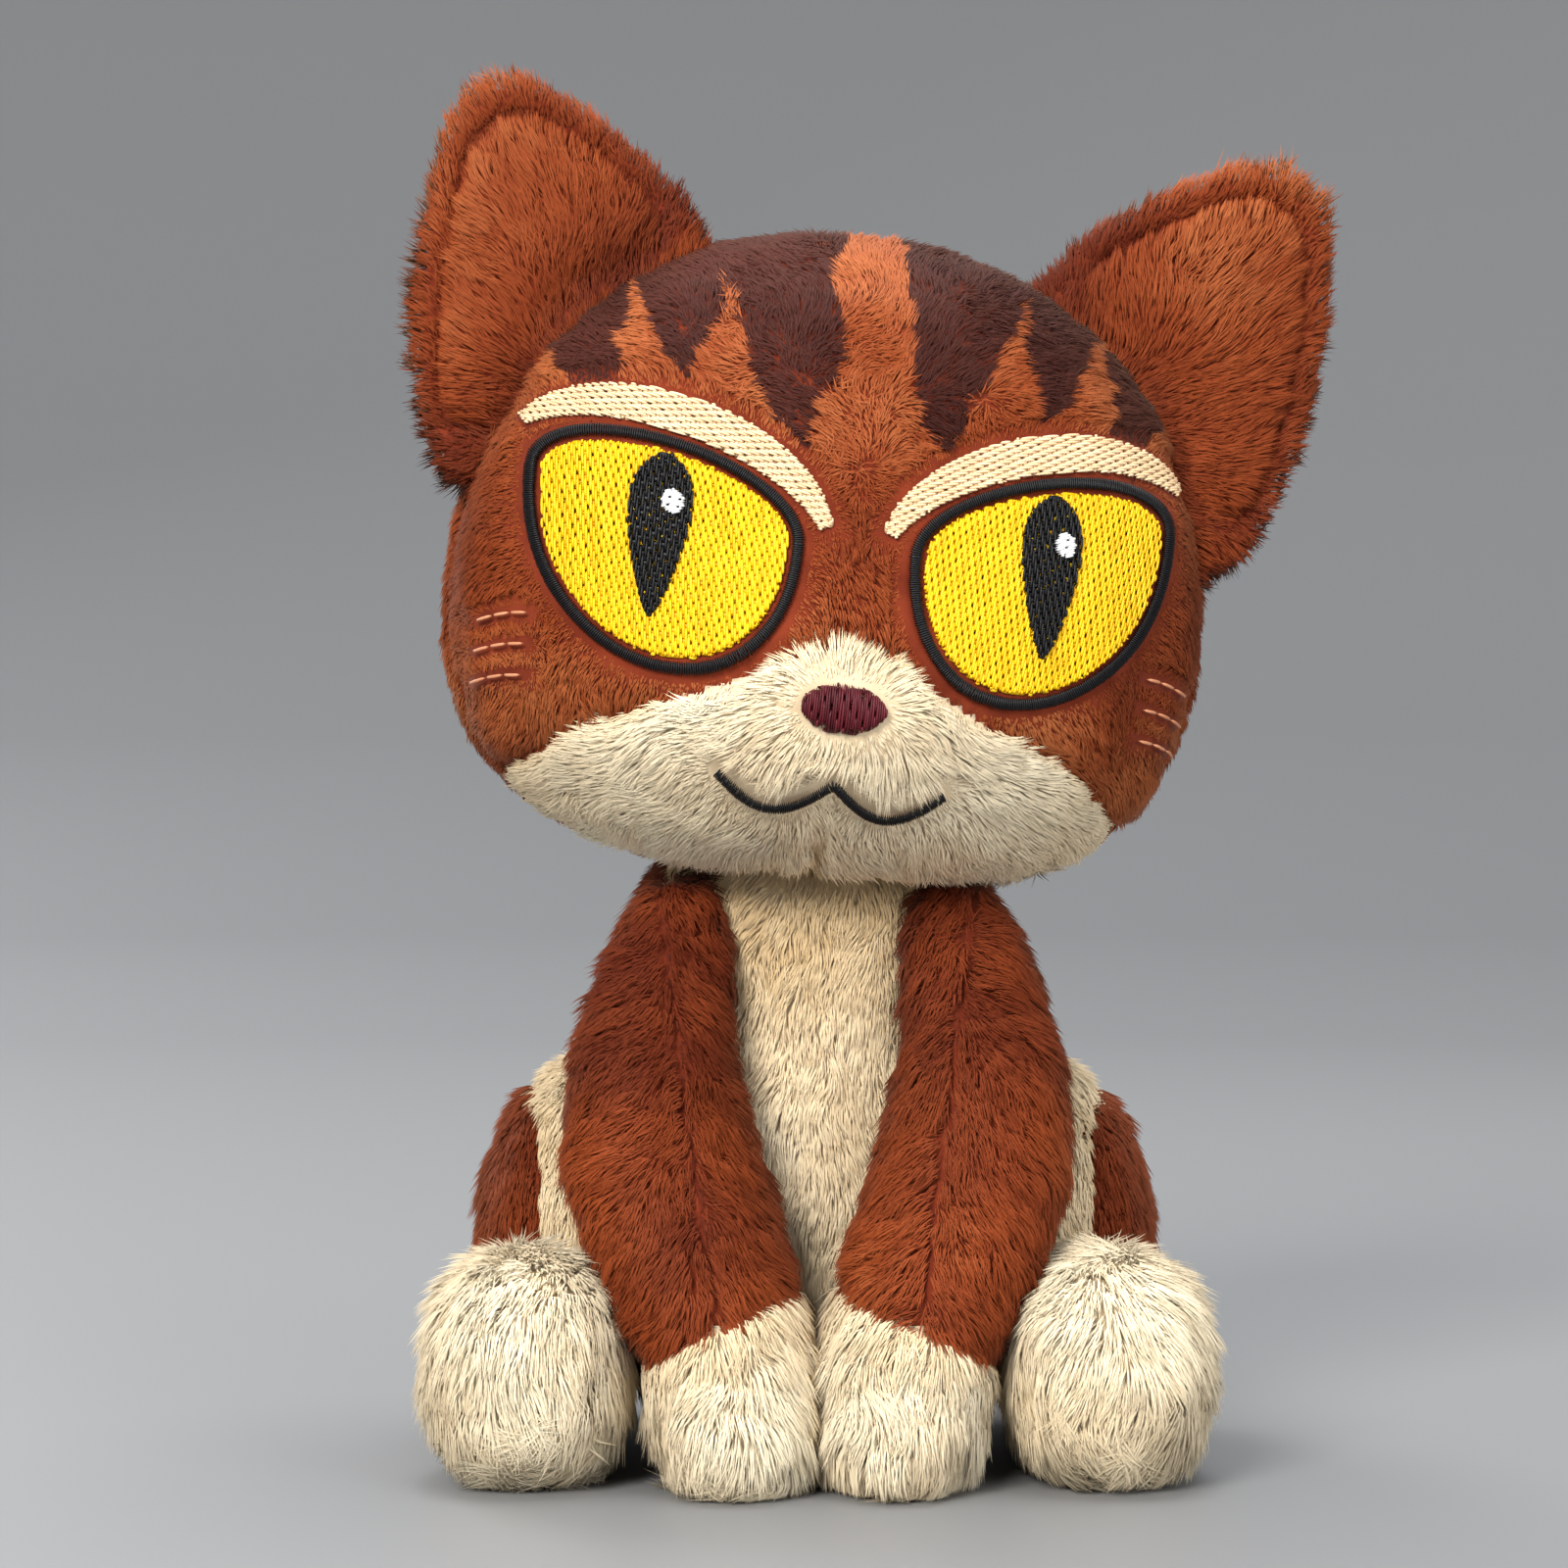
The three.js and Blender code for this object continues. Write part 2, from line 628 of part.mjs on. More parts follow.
const torsoStations = TORSO.stations.map(([z, y, w, d]) => [z, 0, y, w, d]);

function torsoForm(inset) {
  const [segments, rings] = FACETS.torso;
  return solidFrom(stack(torsoStations, { segments, rings, power: TORSO.power, inset }));
}

const seatTop = TORSO.seatSeam;
const torsoShell = torsoForm(0).subtract(torsoForm(PILE));

// Everything in front of the side seams and between the chest's edges, grown by grow.
function chestSpan(grow) {
  const right = TORSO.chestEdge.map(([x, z]) => [x + grow, z]);
  const left = TORSO.chestEdge.map(([x, z]) => [-x - grow, z]);
  return prismY([...left, ...right.reverse()], -FAR, TORSO.sideSeam + grow);
}

const chestRegion = chestSpan(-halfGap);
const chestHole = chestSpan(halfGap);
const aboveSeat = box([-FAR, -FAR, seatTop + halfGap], [FAR, FAR, FAR]);
const belowSeat = box([-FAR, -FAR, -FAR], [FAR, FAR, seatTop - halfGap]);

addPiece(object, 'chest_panel', torsoShell.intersect(chestRegion).intersect(aboveSeat), COLOURS.cream);
for (const [name, side] of [['left', -1], ['right', 1]]) {
  const near = side * halfGap;
  const half = box([Math.min(near, side * FAR), -FAR, -FAR], [Math.max(near, side * FAR), FAR, FAR]);
  const panel = torsoShell.intersect(half).intersect(aboveSeat).subtract(chestHole);
  addPiece(object, `back_panel_${name}`, panel, COLOURS.rust);
}
addPiece(object, 'seat_panel', torsoShell.intersect(belowSeat), COLOURS.rust);

const neckPlug = solidFrom(ball(NECK.pivot, NECK.plug, ...FACETS.plug));
const plugRoom = solidFrom(ball(NECK.pivot, NECK.plug + NECK.plugClearance, ...FACETS.plug));
const insideTorso = torsoForm(PILE + SEAM_GAP);
const fillingSpan = box([-FAR, -FAR, TORSO.pelletTop + halfGap], [FAR, FAR, NECK.plugFloor]);
const beadSpan = box([-FAR, -FAR, -FAR], [FAR, FAR, TORSO.pelletTop - halfGap]);
addPiece(object, 'torso_filling', insideTorso.intersect(fillingSpan).subtract(plugRoom), COLOURS.filling);
addPiece(object, 'bead_bag', insideTorso.intersect(beadSpan), COLOURS.beads);
addPiece(object, 'neck_filling', neckPlug, COLOURS.filling);

// ---------------------------------------------------------------- front legs

// Everything past the line from a to b, in X and Z and on one side of the cat, starting shift beyond it.
function slantedPrism([ax, az], [bx, bz], side, shift) {
  const run = new THREE.Vector2(bx - ax, bz - az).normalize();
  const normal = new THREE.Vector2(-run.y, run.x);
  const offset = normal.clone().multiplyScalar(shift);
  const past = normal.clone().multiplyScalar(Math.sign(shift) * FAR);
  const start = new THREE.Vector2(ax, az).add(offset).addScaledVector(run, -FAR);
  const end = new THREE.Vector2(bx, bz).add(offset).addScaledVector(run, FAR);
  const corners = [start, end, end.clone().add(past), start.clone().add(past)];
  const outline = corners.map((c) => [side * c.x, c.y]);
  const turns = THREE.ShapeUtils.area(outline.map(([x, y]) => new THREE.Vector2(x, y)));
  return prismY(turns > 0 ? outline : outline.reverse(), -FAR, FAR);
}

for (const [name, side] of [['left', -1], ['right', 1]]) {
  const stations = FRONT_LEG.stations.map(([z, x, y, w, d]) => [z, side * x, y, w, d]);
  const form = (inset, [segments, rings]) => solidFrom(stack(stations, { segments, rings, inset }));
  const shell = form(0, FACETS.frontLeg).subtract(form(PILE, FACETS.frontLeg));
  const { inner, outer } = FRONT_LEG.pawSeam;
  const { top, bottom } = FRONT_LEG.sleeveSeam;
  const sleeve = shell.intersect(slantedPrism(inner, outer, side, halfGap));
  const paw = shell.intersect(slantedPrism(inner, outer, side, -halfGap));
  const outerHalf = slantedPrism(top, bottom, side, halfGap);
  const innerHalf = slantedPrism(top, bottom, side, -halfGap);
  addPiece(object, `front_leg_${name}_outer`, sleeve.intersect(outerHalf), COLOURS.rust);
  addPiece(object, `front_leg_${name}_inner`, sleeve.intersect(innerHalf), COLOURS.rust);
  addPiece(object, `front_paw_${name}`, paw, COLOURS.cream);
  addPiece(object, `front_leg_${name}_filling`, form(PILE + SEAM_GAP, FACETS.frontLeg), COLOURS.filling);
}

// ---------------------------------------------------------------- hind legs

for (const [name, side] of [['left', -1], ['right', 1]]) {
  const { thigh, foot } = HIND_LEG;
  const at = ([x, y, z]) => [side * x, y, z];
  const thighForm = (inset, facets) =>
    solidFrom(blob(at(thigh.centre), thigh.half, thigh.power, facets, inset));
  const footForm = (inset, facets) =>
    solidFrom(blob(at(foot.centre), foot.half, foot.power, facets, inset));
  const halfSpace = (x, outwards) => {
    const far = outwards ? FAR : -FAR;
    const edges = [side * x, side * far];
    return box([Math.min(...edges), -FAR, -FAR], [Math.max(...edges), FAR, FAR]);
  };
  const innerFace = thigh.innerFace;
  const outside = halfSpace(innerFace, true);
  const inside = halfSpace(innerFace + PILE, true);
  const body = thighForm(0, FACETS.thigh).intersect(outside);
  const hollow = thighForm(PILE, FACETS.thigh).intersect(inside);
  const footRoom = footForm(-SEAM_GAP, FACETS.foot);
  const shell = body.subtract(hollow).subtract(footRoom);
  const outerPanel = shell.intersect(halfSpace(thigh.seamX + halfGap, true));
  const innerPanel = shell.intersect(halfSpace(thigh.seamX - halfGap, false));
  const filling = thighForm(PILE + SEAM_GAP, FACETS.thigh)
    .intersect(halfSpace(innerFace + PILE + SEAM_GAP, true)).subtract(footRoom);
  const footShell = footForm(0, FACETS.foot).subtract(footForm(PILE, FACETS.foot));
  const [nearX, farX] = [side * foot.opening.low[0], side * foot.opening.high[0]].sort((a, b) => a - b);
  const opening = box([nearX, ...foot.opening.low.slice(1)], [farX, ...foot.opening.high.slice(1)]);
  addPiece(object, `thigh_${name}_outer`, outerPanel, COLOURS.rust);
  addPiece(object, `thigh_${name}_inner`, innerPanel, COLOURS.cream);
  addPiece(object, `thigh_${name}_filling`, filling, COLOURS.filling);
  addPiece(object, `hind_foot_${name}`, footShell.subtract(opening), COLOURS.cream);
  addPiece(object, `foot_${name}_filling`, footForm(PILE + SEAM_GAP, FACETS.foot), COLOURS.filling);
}

// ---------------------------------------------------------------- tail

const tail = new THREE.Group();
tail.position.set(...TAIL.root);
tail.rotation.x = -Math.PI / 2; // the stack's height runs backwards, and its y downwards
object.add(tail);
const tailForm = (inset) => {
  const [segments, rings] = FACETS.tail;
  return solidFrom(stack(TAIL.stations, { segments, rings, inset }));
};
const tailShell = tailForm(0).subtract(tailForm(PILE));
const beforeTip = box([-FAR, -FAR, -FAR], [FAR, FAR, TAIL.tipSeam - halfGap]);
const pastTip = box([-FAR, -FAR, TAIL.tipSeam + halfGap], [FAR, FAR, FAR]);
addPiece(tail, 'tail_cover', tailShell.intersect(beforeTip), COLOURS.rust);
addPiece(tail, 'tail_tip', tailShell.intersect(pastTip), COLOURS.dark);
addPiece(tail, 'tail_filling', tailForm(PILE + SEAM_GAP), COLOURS.filling);

// ---------------------------------------------------------------- the origin is under the middle of the cat

const bounds = new THREE.Box3().setFromObject(object);
const middle = bounds.getCenter(new THREE.Vector3());
object.position.set(-middle.x, -middle.y, -bounds.min.z);
object.updateMatrixWorld(true);

export default object;
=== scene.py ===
import json
import math

import bmesh
import bpy
import numpy as np
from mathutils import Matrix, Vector
from mathutils.bvhtree import BVHTree


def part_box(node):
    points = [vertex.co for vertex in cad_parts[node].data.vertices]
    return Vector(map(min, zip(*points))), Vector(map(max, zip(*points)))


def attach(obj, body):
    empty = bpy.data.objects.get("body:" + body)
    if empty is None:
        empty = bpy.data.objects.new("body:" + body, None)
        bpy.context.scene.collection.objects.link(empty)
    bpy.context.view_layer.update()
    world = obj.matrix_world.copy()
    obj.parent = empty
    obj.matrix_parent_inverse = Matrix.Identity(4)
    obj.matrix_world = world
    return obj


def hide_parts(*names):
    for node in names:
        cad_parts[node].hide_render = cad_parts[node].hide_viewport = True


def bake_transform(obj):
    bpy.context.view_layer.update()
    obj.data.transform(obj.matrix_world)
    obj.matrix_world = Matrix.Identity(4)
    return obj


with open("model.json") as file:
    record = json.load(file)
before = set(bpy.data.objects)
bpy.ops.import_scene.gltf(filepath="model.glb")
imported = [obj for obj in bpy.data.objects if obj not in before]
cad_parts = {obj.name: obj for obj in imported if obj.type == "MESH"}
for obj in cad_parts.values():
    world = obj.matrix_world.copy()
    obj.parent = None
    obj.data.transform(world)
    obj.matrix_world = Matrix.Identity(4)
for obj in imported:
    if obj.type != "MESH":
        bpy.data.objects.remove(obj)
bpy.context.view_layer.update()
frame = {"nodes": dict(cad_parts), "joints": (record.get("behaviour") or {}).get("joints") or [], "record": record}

# A seated plush cat. Every panel of the CAD is replaced by a sewn, stuffed skin with its own standing pile,
# and the embroidery is laid stitch by stitch on the skin of the head. Metres, +Z up, the cat faces -Y.

nodes = frame["nodes"]
joints = {joint["name"]: joint for joint in frame["joints"]}
SIDES = {"left": -1, "right": 1}
MM = 0.001
SQUARE_MM = MM * MM
UP = np.array([0.0, 0.0, 1.0])
SEED = 7
PILE_SHARE = 1.0  # of the strands, while trying things

# ---- camera, light and stage

# The camera looks level, from in front of the plane of the face. Its lens and sensor are in millimetres.
CAMERA = {"distance": 700 * MM, "face": -44.25 * MM, "right": -13.83 * MM, "height": 112.4 * MM}
CAMERA_LENS = 95.45
CAMERA_SENSOR = 36
AIM = Vector((0, 0, 0.11))  # the middle of the cat, which the lamps shine at
# For each lamp: its place, how wide it is, its power and its colour.
LAMPS = {
    "key": ((-0.75, -1.7, 1.1), 0.9, 54, (1.0, 0.97, 0.93)),
    "fill": ((1.2, -1.5, 0.4), 1.1, 21, (0.97, 0.98, 1.0)),
    "top": ((0.1, 0.2, 1.7), 1.3, 26, (1.0, 1.0, 1.0)),
    "rim": ((-1.0, 1.3, 0.9), 0.8, 14, (1.0, 1.0, 1.0)),
}
WORLD = {"colour": (0.86, 0.88, 0.92, 1), "strength": 0.95}
# The studio bowl's profile, as (radius, height), and its faces all round.
BOWL = [(0, 0), (1.1, 0), (1.5, 0.03), (1.85, 0.14), (2.15, 0.36), (2.35, 0.7), (2.45, 1.2), (2.5, 2.2)]
BOWL_FACES = 96
BOWL_PAPER = {"colour": (0.21, 0.215, 0.22, 1), "roughness": 0.55}


def place_object(name, data):
    placed = bpy.data.objects.new(name, data)
    bpy.context.scene.collection.objects.link(placed)
    return placed


def make_camera():
    data = bpy.data.cameras.new("camera")
    data.lens = CAMERA_LENS
    data.sensor_width = CAMERA_SENSOR
    data.clip_start = 10 * MM
    camera = place_object("camera", data)
    camera.location = (CAMERA["right"], CAMERA["face"] - CAMERA["distance"], CAMERA["height"])
    camera.rotation_euler = (math.radians(90), 0, 0)
    bpy.context.scene.camera = camera


def make_lamp(name, place, size, power, colour):
    data = bpy.data.lights.new(name, "AREA")
    data.shape = "DISK"
    data.size = size
    data.energy = power
    data.color = colour
    light = place_object(name, data)
    light.location = place
    light.rotation_euler = (AIM - Vector(place)).to_track_quat("-Z", "Y").to_euler()
    light.visible_camera = False


def make_stage():
    """A pale studio bowl: a floor that curves up into a wall all round."""
    points = [(0.0, 0.0, 0.0)]
    faces = []
    for radius, height in BOWL[1:]:
        for step in range(BOWL_FACES):
            angle = 2 * math.pi * step / BOWL_FACES
            points.append((radius * math.cos(angle), radius * math.sin(angle), height))
    for step in range(BOWL_FACES):
        following = (step + 1) % BOWL_FACES
        faces.append((0, 1 + step, 1 + following))
        for ring in range(len(BOWL) - 2):
            low = 1 + ring * BOWL_FACES
            high = low + BOWL_FACES
            faces.append((low + step, high + step, high + following, low + following))
    mesh = bpy.data.meshes.new("studio_floor")
    mesh.from_pydata(points, [], faces)
    mesh.shade_smooth()
    floor = place_object("studio_floor", mesh)
    material = bpy.data.materials.new("studio_paper")
    material.use_nodes = True
    shader = material.node_tree.nodes["Principled BSDF"]
    shader.inputs["Base Color"].default_value = BOWL_PAPER["colour"]
    shader.inputs["Roughness"].default_value = BOWL_PAPER["roughness"]
    mesh.materials.append(material)


def make_light():
    world = bpy.data.worlds.new("studio")
    world.use_nodes = True
    background = world.node_tree.nodes["Background"]
    background.inputs["Color"].default_value = WORLD["colour"]
    background.inputs["Strength"].default_value = WORLD["strength"]
    bpy.context.scene.world = world
    for name, lamp in LAMPS.items():
        make_lamp(name, *lamp)
    bpy.context.scene.view_settings.view_transform = "Standard"


make_camera()
make_stage()
make_light()

# ---- noise, as smooth fields over space

PRIMES = (np.uint64(0x9E3779B97F4A7C15), np.uint64(0xC2B2AE3D27D4EB4F), np.uint64(0x165667B19E3779F9))
MIXER = np.uint64(0xD6E8FEB86659FD93)
SEED_STEP = 0x9E3779B9
HALF_WORD = np.uint64(32)
TOP_BITS = np.uint64(40)


def hashed(cells, seed):
    """A number from 0 to 1 for each row of three whole numbers."""
    value = np.full(len(cells), (seed * SEED_STEP + 1) % 2**63, np.uint64)
    for axis, prime in enumerate(PRIMES):
        value = value ^ (cells[:, axis].astype(np.int64).view(np.uint64) * prime)
        value = (value ^ (value >> HALF_WORD)) * MIXER
    return (value >> TOP_BITS).astype(float) / 2**24


def noise(points, scale, seed):
    """Smooth noise from -1 to 1 whose features are about scale across."""
    place = points / scale
    cell = np.floor(place).astype(np.int64)
    part = place - cell
    ease = part * part * (3 - 2 * part)
    total = np.zeros(len(points))
    for corner in range(8):
        offset = np.array([corner & 1, (corner >> 1) & 1, (corner >> 2) & 1])
        weight = np.prod(np.where(offset == 1, ease, 1 - ease), axis=1)
        total += weight * hashed(cell + offset, seed)
    return 2 * total - 1


def vector_noise(points, scale, seed):
    return np.stack([noise(points, scale, seed + 11 * axis) for axis in range(3)], axis=1)


def nearest_tuft(points, size, seed):
    """For each point, the offset to the middle of its tuft and a number from 0 to 1 that names the tuft."""
    place = points / size
    cell = np.floor(place).astype(np.int64)
    best = np.full(len(points), np.inf)
    offset = np.zeros_like(points)
    name = np.zeros(len(points))
    for step in np.ndindex(3, 3, 3):
        near = cell + np.array(step) - 1
        middle = near + np.stack([hashed(near, seed + axis) for axis in (1, 2, 3)], axis=1)
        away = middle - place
        distance = np.einsum("ij,ij->i", away, away)
        closer = distance < best
        best[closer] = distance[closer]
        offset[closer] = away[closer]
        name[closer] = hashed(near[closer], seed + 4)
    return offset * size, name


def unit(vectors):
    return vectors / np.maximum(np.linalg.norm(vectors, axis=1, keepdims=True), 1e-12)


def smoothstep(low, high, value):
    t = np.clip((value - low) / (high - low), 0, 1)
    return t * t * (3 - 2 * t)


# ---- meshes

BAKE_UV = "OFBake"  # the map of palette places that the materials read


def apply_modifiers(piece):
    graph = bpy.context.evaluated_depsgraph_get()
    mesh = bpy.data.meshes.new_from_object(piece.evaluated_get(graph))
    piece.modifiers.clear()
    old = piece.data
    piece.data = mesh
    mesh.name = piece.name
    bpy.data.meshes.remove(old)


def rows_of(parts, attribute, width, kind):
    """An attribute of a mesh's vertices, edges or faces: a row for each."""
    values = np.empty(len(parts) * width, kind)
    parts.foreach_get(attribute, values)
    return values.reshape(-1, width)


def points_of(mesh):
    return rows_of(mesh.vertices, "co", 3, float)


def normals_of(mesh):
    return rows_of(mesh.vertex_normals, "vector", 3, float)


def edges_of(mesh):
    return rows_of(mesh.edges, "vertices", 2, np.int32)


def triangles_of(mesh):
    mesh.calc_loop_triangles()
    return rows_of(mesh.loop_triangles, "vertices", 3, np.int32)


def set_points(mesh, points):
    mesh.vertices.foreach_set("co", points.astype(np.float32).ravel())
    mesh.update()


def triangle_mesh(name, points, triangles, uv, normals=None):
    """A smooth-shaded mesh from arrays, with a palette place, and a normal if given, for each point."""
    mesh = bpy.data.meshes.new(name)
    mesh.vertices.add(len(points))
    mesh.vertices.foreach_set("co", points.astype(np.float32).ravel())
    mesh.loops.add(triangles.size)
    mesh.loops.foreach_set("vertex_index", triangles.astype(np.int32).ravel())
    mesh.polygons.add(len(triangles))
    mesh.polygons.foreach_set("loop_start", np.arange(0, triangles.size, 3, dtype=np.int32))
    mesh.polygons.foreach_set("use_smooth", np.ones(len(triangles), bool))
    mesh.update(calc_edges=True)
    layer = mesh.uv_layers.new(name=BAKE_UV)
    layer.uv.foreach_set("vector", uv[triangles.ravel()].astype(np.float32).ravel())
    if normals is not None:
        mesh.normals_split_custom_set_from_vertices(normals.astype(np.float32))
    return mesh


RELAX_PULLS = (0.5, -0.53)  # towards the neighbours, and then out again


def relaxed(points, edges, rounds):
    """Smoothing that keeps the size."""
    count = np.bincount(edges.ravel(), minlength=len(points))[:, None]
    for _ in range(rounds):
        for pull in RELAX_PULLS:
            total = np.stack(
                [
                    np.bincount(edges[:, 0], points[edges[:, 1], axis], len(points))
                    + np.bincount(edges[:, 1], points[edges[:, 0], axis], len(points))
                    for axis in range(3)
                ],
                axis=1,
            )
            points = points + pull * (total / count - points)
    return points


# ---- materials

WARM = (1.0, 0.76, 0.56, 1)
MATT = {"roughness": 0.95, "sheen": 0.1, "specular": 0.1}


def new_material(name, roughness, sheen=0.0, specular=0.3):
    material = bpy.data.materials.new(name)
    material.use_nodes = True
    shader = material.node_tree.nodes["Principled BSDF"]
    shader.inputs["Roughness"].default_value = roughness
    shader.inputs["Sheen Weight"].default_value = sheen
    shader.inputs["Sheen Roughness"].default_value = 0.5
    shader.inputs["Sheen Tint"].default_value = WARM
    shader.inputs["Specular IOR Level"].default_value = specular
    return material, material.node_tree, shader


def srgb(red, green, blue):
    """A colour given as it looks on a screen, from 0 to 255, as the linear colour that shaders take."""
    linear = []
    for level in (red, green, blue):
        share = level / 255
        linear.append(share / 12.92 if share <= 0.04045 else ((share + 0.055) / 1.055) ** 2.4)
    return (*linear, 1)


def ramp_node(tree, stops):
    """A colour ramp through (place, colour) stops."""
    ramp = tree.nodes.new("ShaderNodeValToRGB")
    elements = ramp.color_ramp.elements
    while len(elements) < len(stops):
        elements.new(0.5)
    for element, (place, colour) in zip(elements, sorted(stops)):
        element.position = place
        element.color = colour
    return ramp


def even_stops(*colours):
    """Ramp stops at even steps from 0 to 1."""
    return [(number / (len(colours) - 1), srgb(*colour)) for number, colour in enumerate(colours)]


def grey(level):
    return (level, level, level, 1)


def palette_material(name, tones, shade, **finish):
    """Colour from the palette map: u runs along a strand, from root to tip, and v picks its tone. The shade ramp
    along u multiplies the tone: a painted shade where the strand or stitch goes down into the cloth.
    """
    material, tree, shader = new_material(name, **finish)
    place = tree.nodes.new("ShaderNodeUVMap")
    place.uv_map = BAKE_UV
    split = tree.nodes.new("ShaderNodeSeparateXYZ")
    tree.links.new(place.outputs["UV"], split.inputs[0])
    along = ramp_node(tree, [(where, grey(level)) for where, level in shade])
    tree.links.new(split.outputs["X"], along.inputs[0])
    tone = ramp_node(tree, tones)
    tree.links.new(split.outputs["Y"], tone.inputs[0])
    mix = tree.nodes.new("ShaderNodeMix")
    mix.data_type = "RGBA"
    mix.blend_type = "MULTIPLY"
    mix.inputs["Factor"].default_value = 1
    tree.links.new(tone.outputs["Color"], mix.inputs["A"])
    tree.links.new(along.outputs["Color"], mix.inputs["B"])
    tree.links.new(mix.outputs["Result"], shader.inputs["Base Color"])
    return material


MOTTLE = {"scale": 150.0, "detail": 4, "dark_below": 0.3, "pale_above": 0.7}


def backing_material(name, dark, pale):
    """The mottled knitted backing under the pile."""
    material, tree, shader = new_material(name, **MATT)
    place = tree.nodes.new("ShaderNodeTexCoord")
    mottle = tree.nodes.new("ShaderNodeTexNoise")
    mottle.inputs["Scale"].default_value = MOTTLE["scale"]
    mottle.inputs["Detail"].default_value = MOTTLE["detail"]
    tree.links.new(place.outputs["Object"], mottle.inputs["Vector"])
    colours = ramp_node(tree, [(MOTTLE["dark_below"], srgb(*dark)), (MOTTLE["pale_above"], srgb(*pale))])
    tree.links.new(mottle.outputs["Fac"], colours.inputs[0])
    tree.links.new(colours.outputs["Color"], shader.inputs["Base Color"])
    return material


def plain_material(name, colour):
    material, _, shader = new_material(name, **MATT)
    shader.inputs["Base Color"].default_value = srgb(*colour)
    return material


# The rust palette's lower part holds the rust tones and its upper part the print's, with a gap between them.
RUST_SHARE = 0.47
PRINT_FROM = 0.52
RUST_TONES = [
    (0.0, srgb(96, 32, 8)),
    (0.25, srgb(148, 66, 26)),
    (0.49, srgb(196, 115, 66)),
    (0.51, srgb(34, 9, 7)),
    (0.75, srgb(56, 20, 14)),
    (1.0, srgb(84, 38, 28)),
]
CREAM_TONES = even_stops((206, 176, 130), (240, 218, 180), (254, 242, 212))
DARK_TONES = even_stops((62, 26, 26), (86, 40, 38), (112, 58, 50))
# Painted shade along a strand, as (place from root to tip, level): its root, deep in the pile, is painted darker.
DEEP_SHADE = [(0.0, 0.5), (0.35, 0.82), (1.0, 1.0)]
PALE_SHADE = [(0.0, 0.85), (0.35, 0.95), (1.0, 1.0)]
PILE_MATERIALS = {
    "rust_pile": palette_material(
        "rust_pile", RUST_TONES, DEEP_SHADE, roughness=0.7, sheen=0.07, specular=0.15
    ),
    "cream_pile": palette_material(
        "cream_pile", CREAM_TONES, PALE_SHADE, roughness=0.75, sheen=0.08, specular=0.15
    ),
    "dark_pile": palette_material(
        "dark_pile", DARK_TONES, DEEP_SHADE, roughness=0.7, sheen=0.1, specular=0.2
    ),
}
BACKINGS = {
    "rust_pile": backing_material("rust_backing", (96, 34, 18), (128, 52, 30)),
    "cream_pile": backing_material("cream_backing", (206, 184, 150), (226, 206, 174)),
    "dark_pile": backing_material("dark_backing", (48, 20, 20), (66, 30, 28)),
}

# ---- the head's own frame


def middle_of(node):
    return points_of(nodes[node].data).mean(axis=0)


NOSE = {"x": 0.0, "z": -25.5, "half_width": 6.8, "half_height": 3.9}  # in millimetres from the head's origin

head_up = np.array(joints["head_turn"]["axis"])
eye_line = middle_of("eye_right_pupil") - middle_of("eye_left_pupil")
head_back = np.cross(head_up, eye_line)
head_back /= np.linalg.norm(head_back)
head_right = np.cross(head_back, head_up)
head_origin = middle_of("nose") - head_right * NOSE["x"] * MM - head_up * NOSE["z"] * MM
head_origin += head_back * ((middle_of("head_filling") - head_origin) @ head_back)
neck_pivot = np.array(joints["neck_tilt"]["pos_m"])


def in_head(points):
    """Points in the head's own frame, in millimetres: across, back and up."""
    away = points - head_origin
    return np.stack([away @ head_right, away @ head_back, away @ head_up], axis=1) / MM


def head_point(across, back, up):
    """A point of the head's own frame, in metres in the scene."""
    return head_origin + (head_right * across + head_back * back + head_up * up) * MM


# ---- skins: stuffed forms cut into panels


def closed_form(name, members, voxel):
    """One closed body round some CAD nodes, as an even mesh of small squares."""
    joined = bmesh.new()
    for member in members:
        joined.from_mesh(nodes[member].data)
    mesh = bpy.data.meshes.new(name)
    joined.to_mesh(mesh)
    joined.free()
    piece = place_object(name, mesh)
    remesh = piece.modifiers.new("remesh", "REMESH")
    remesh.mode = "VOXEL"
    remesh.voxel_size = voxel
    apply_modifiers(piece)
    keep_largest(piece.data)
    return piece


def keep_largest(mesh):
    """Leaves only the largest of a mesh's separate bodies."""
    body = bmesh.new()
    body.from_mesh(mesh)
    body.verts.ensure_lookup_table()
    left = set(range(len(body.verts)))
    islands = []
    while left:
        start = left.pop()
        island = {start}
        queue = [start]
        while queue:
            for edge in body.verts[queue.pop()].link_edges:
                for vertex in edge.verts:
                    if vertex.index in left:
                        left.discard(vertex.index)
                        island.add(vertex.index)
                        queue.append(vertex.index)
        islands.append(island)
    largest = max(islands, key=len)
    spare = [vertex for vertex in body.verts if vertex.index not in largest]
    bmesh.ops.delete(body, geom=spare, context="VERTS")
    body.to_mesh(mesh)
    body.free()


def panel_distances(points, panels):
    """How far each point is from each panel's CAD solid: a column for each panel."""
    columns = []
    for panel in panels:
        data = nodes[panel].data
        tree = BVHTree.FromPolygons([v.co for v in data.vertices], [p.vertices for p in data.polygons])
        columns.append([tree.find_nearest(Vector(point))[3] for point in points])
    return np.array(columns).T


def seam_distance(distances):
    """How far each point is from the nearest seam: its distance to the second nearest panel."""
    if distances.shape[1] < 2:
        return np.full(len(distances), 1.0)
    return np.sort(distances, axis=1)[:, 1]


CLOTH = {"quality": 4, "pressure": 4, "frames": 20, "least_hold": 0.02}


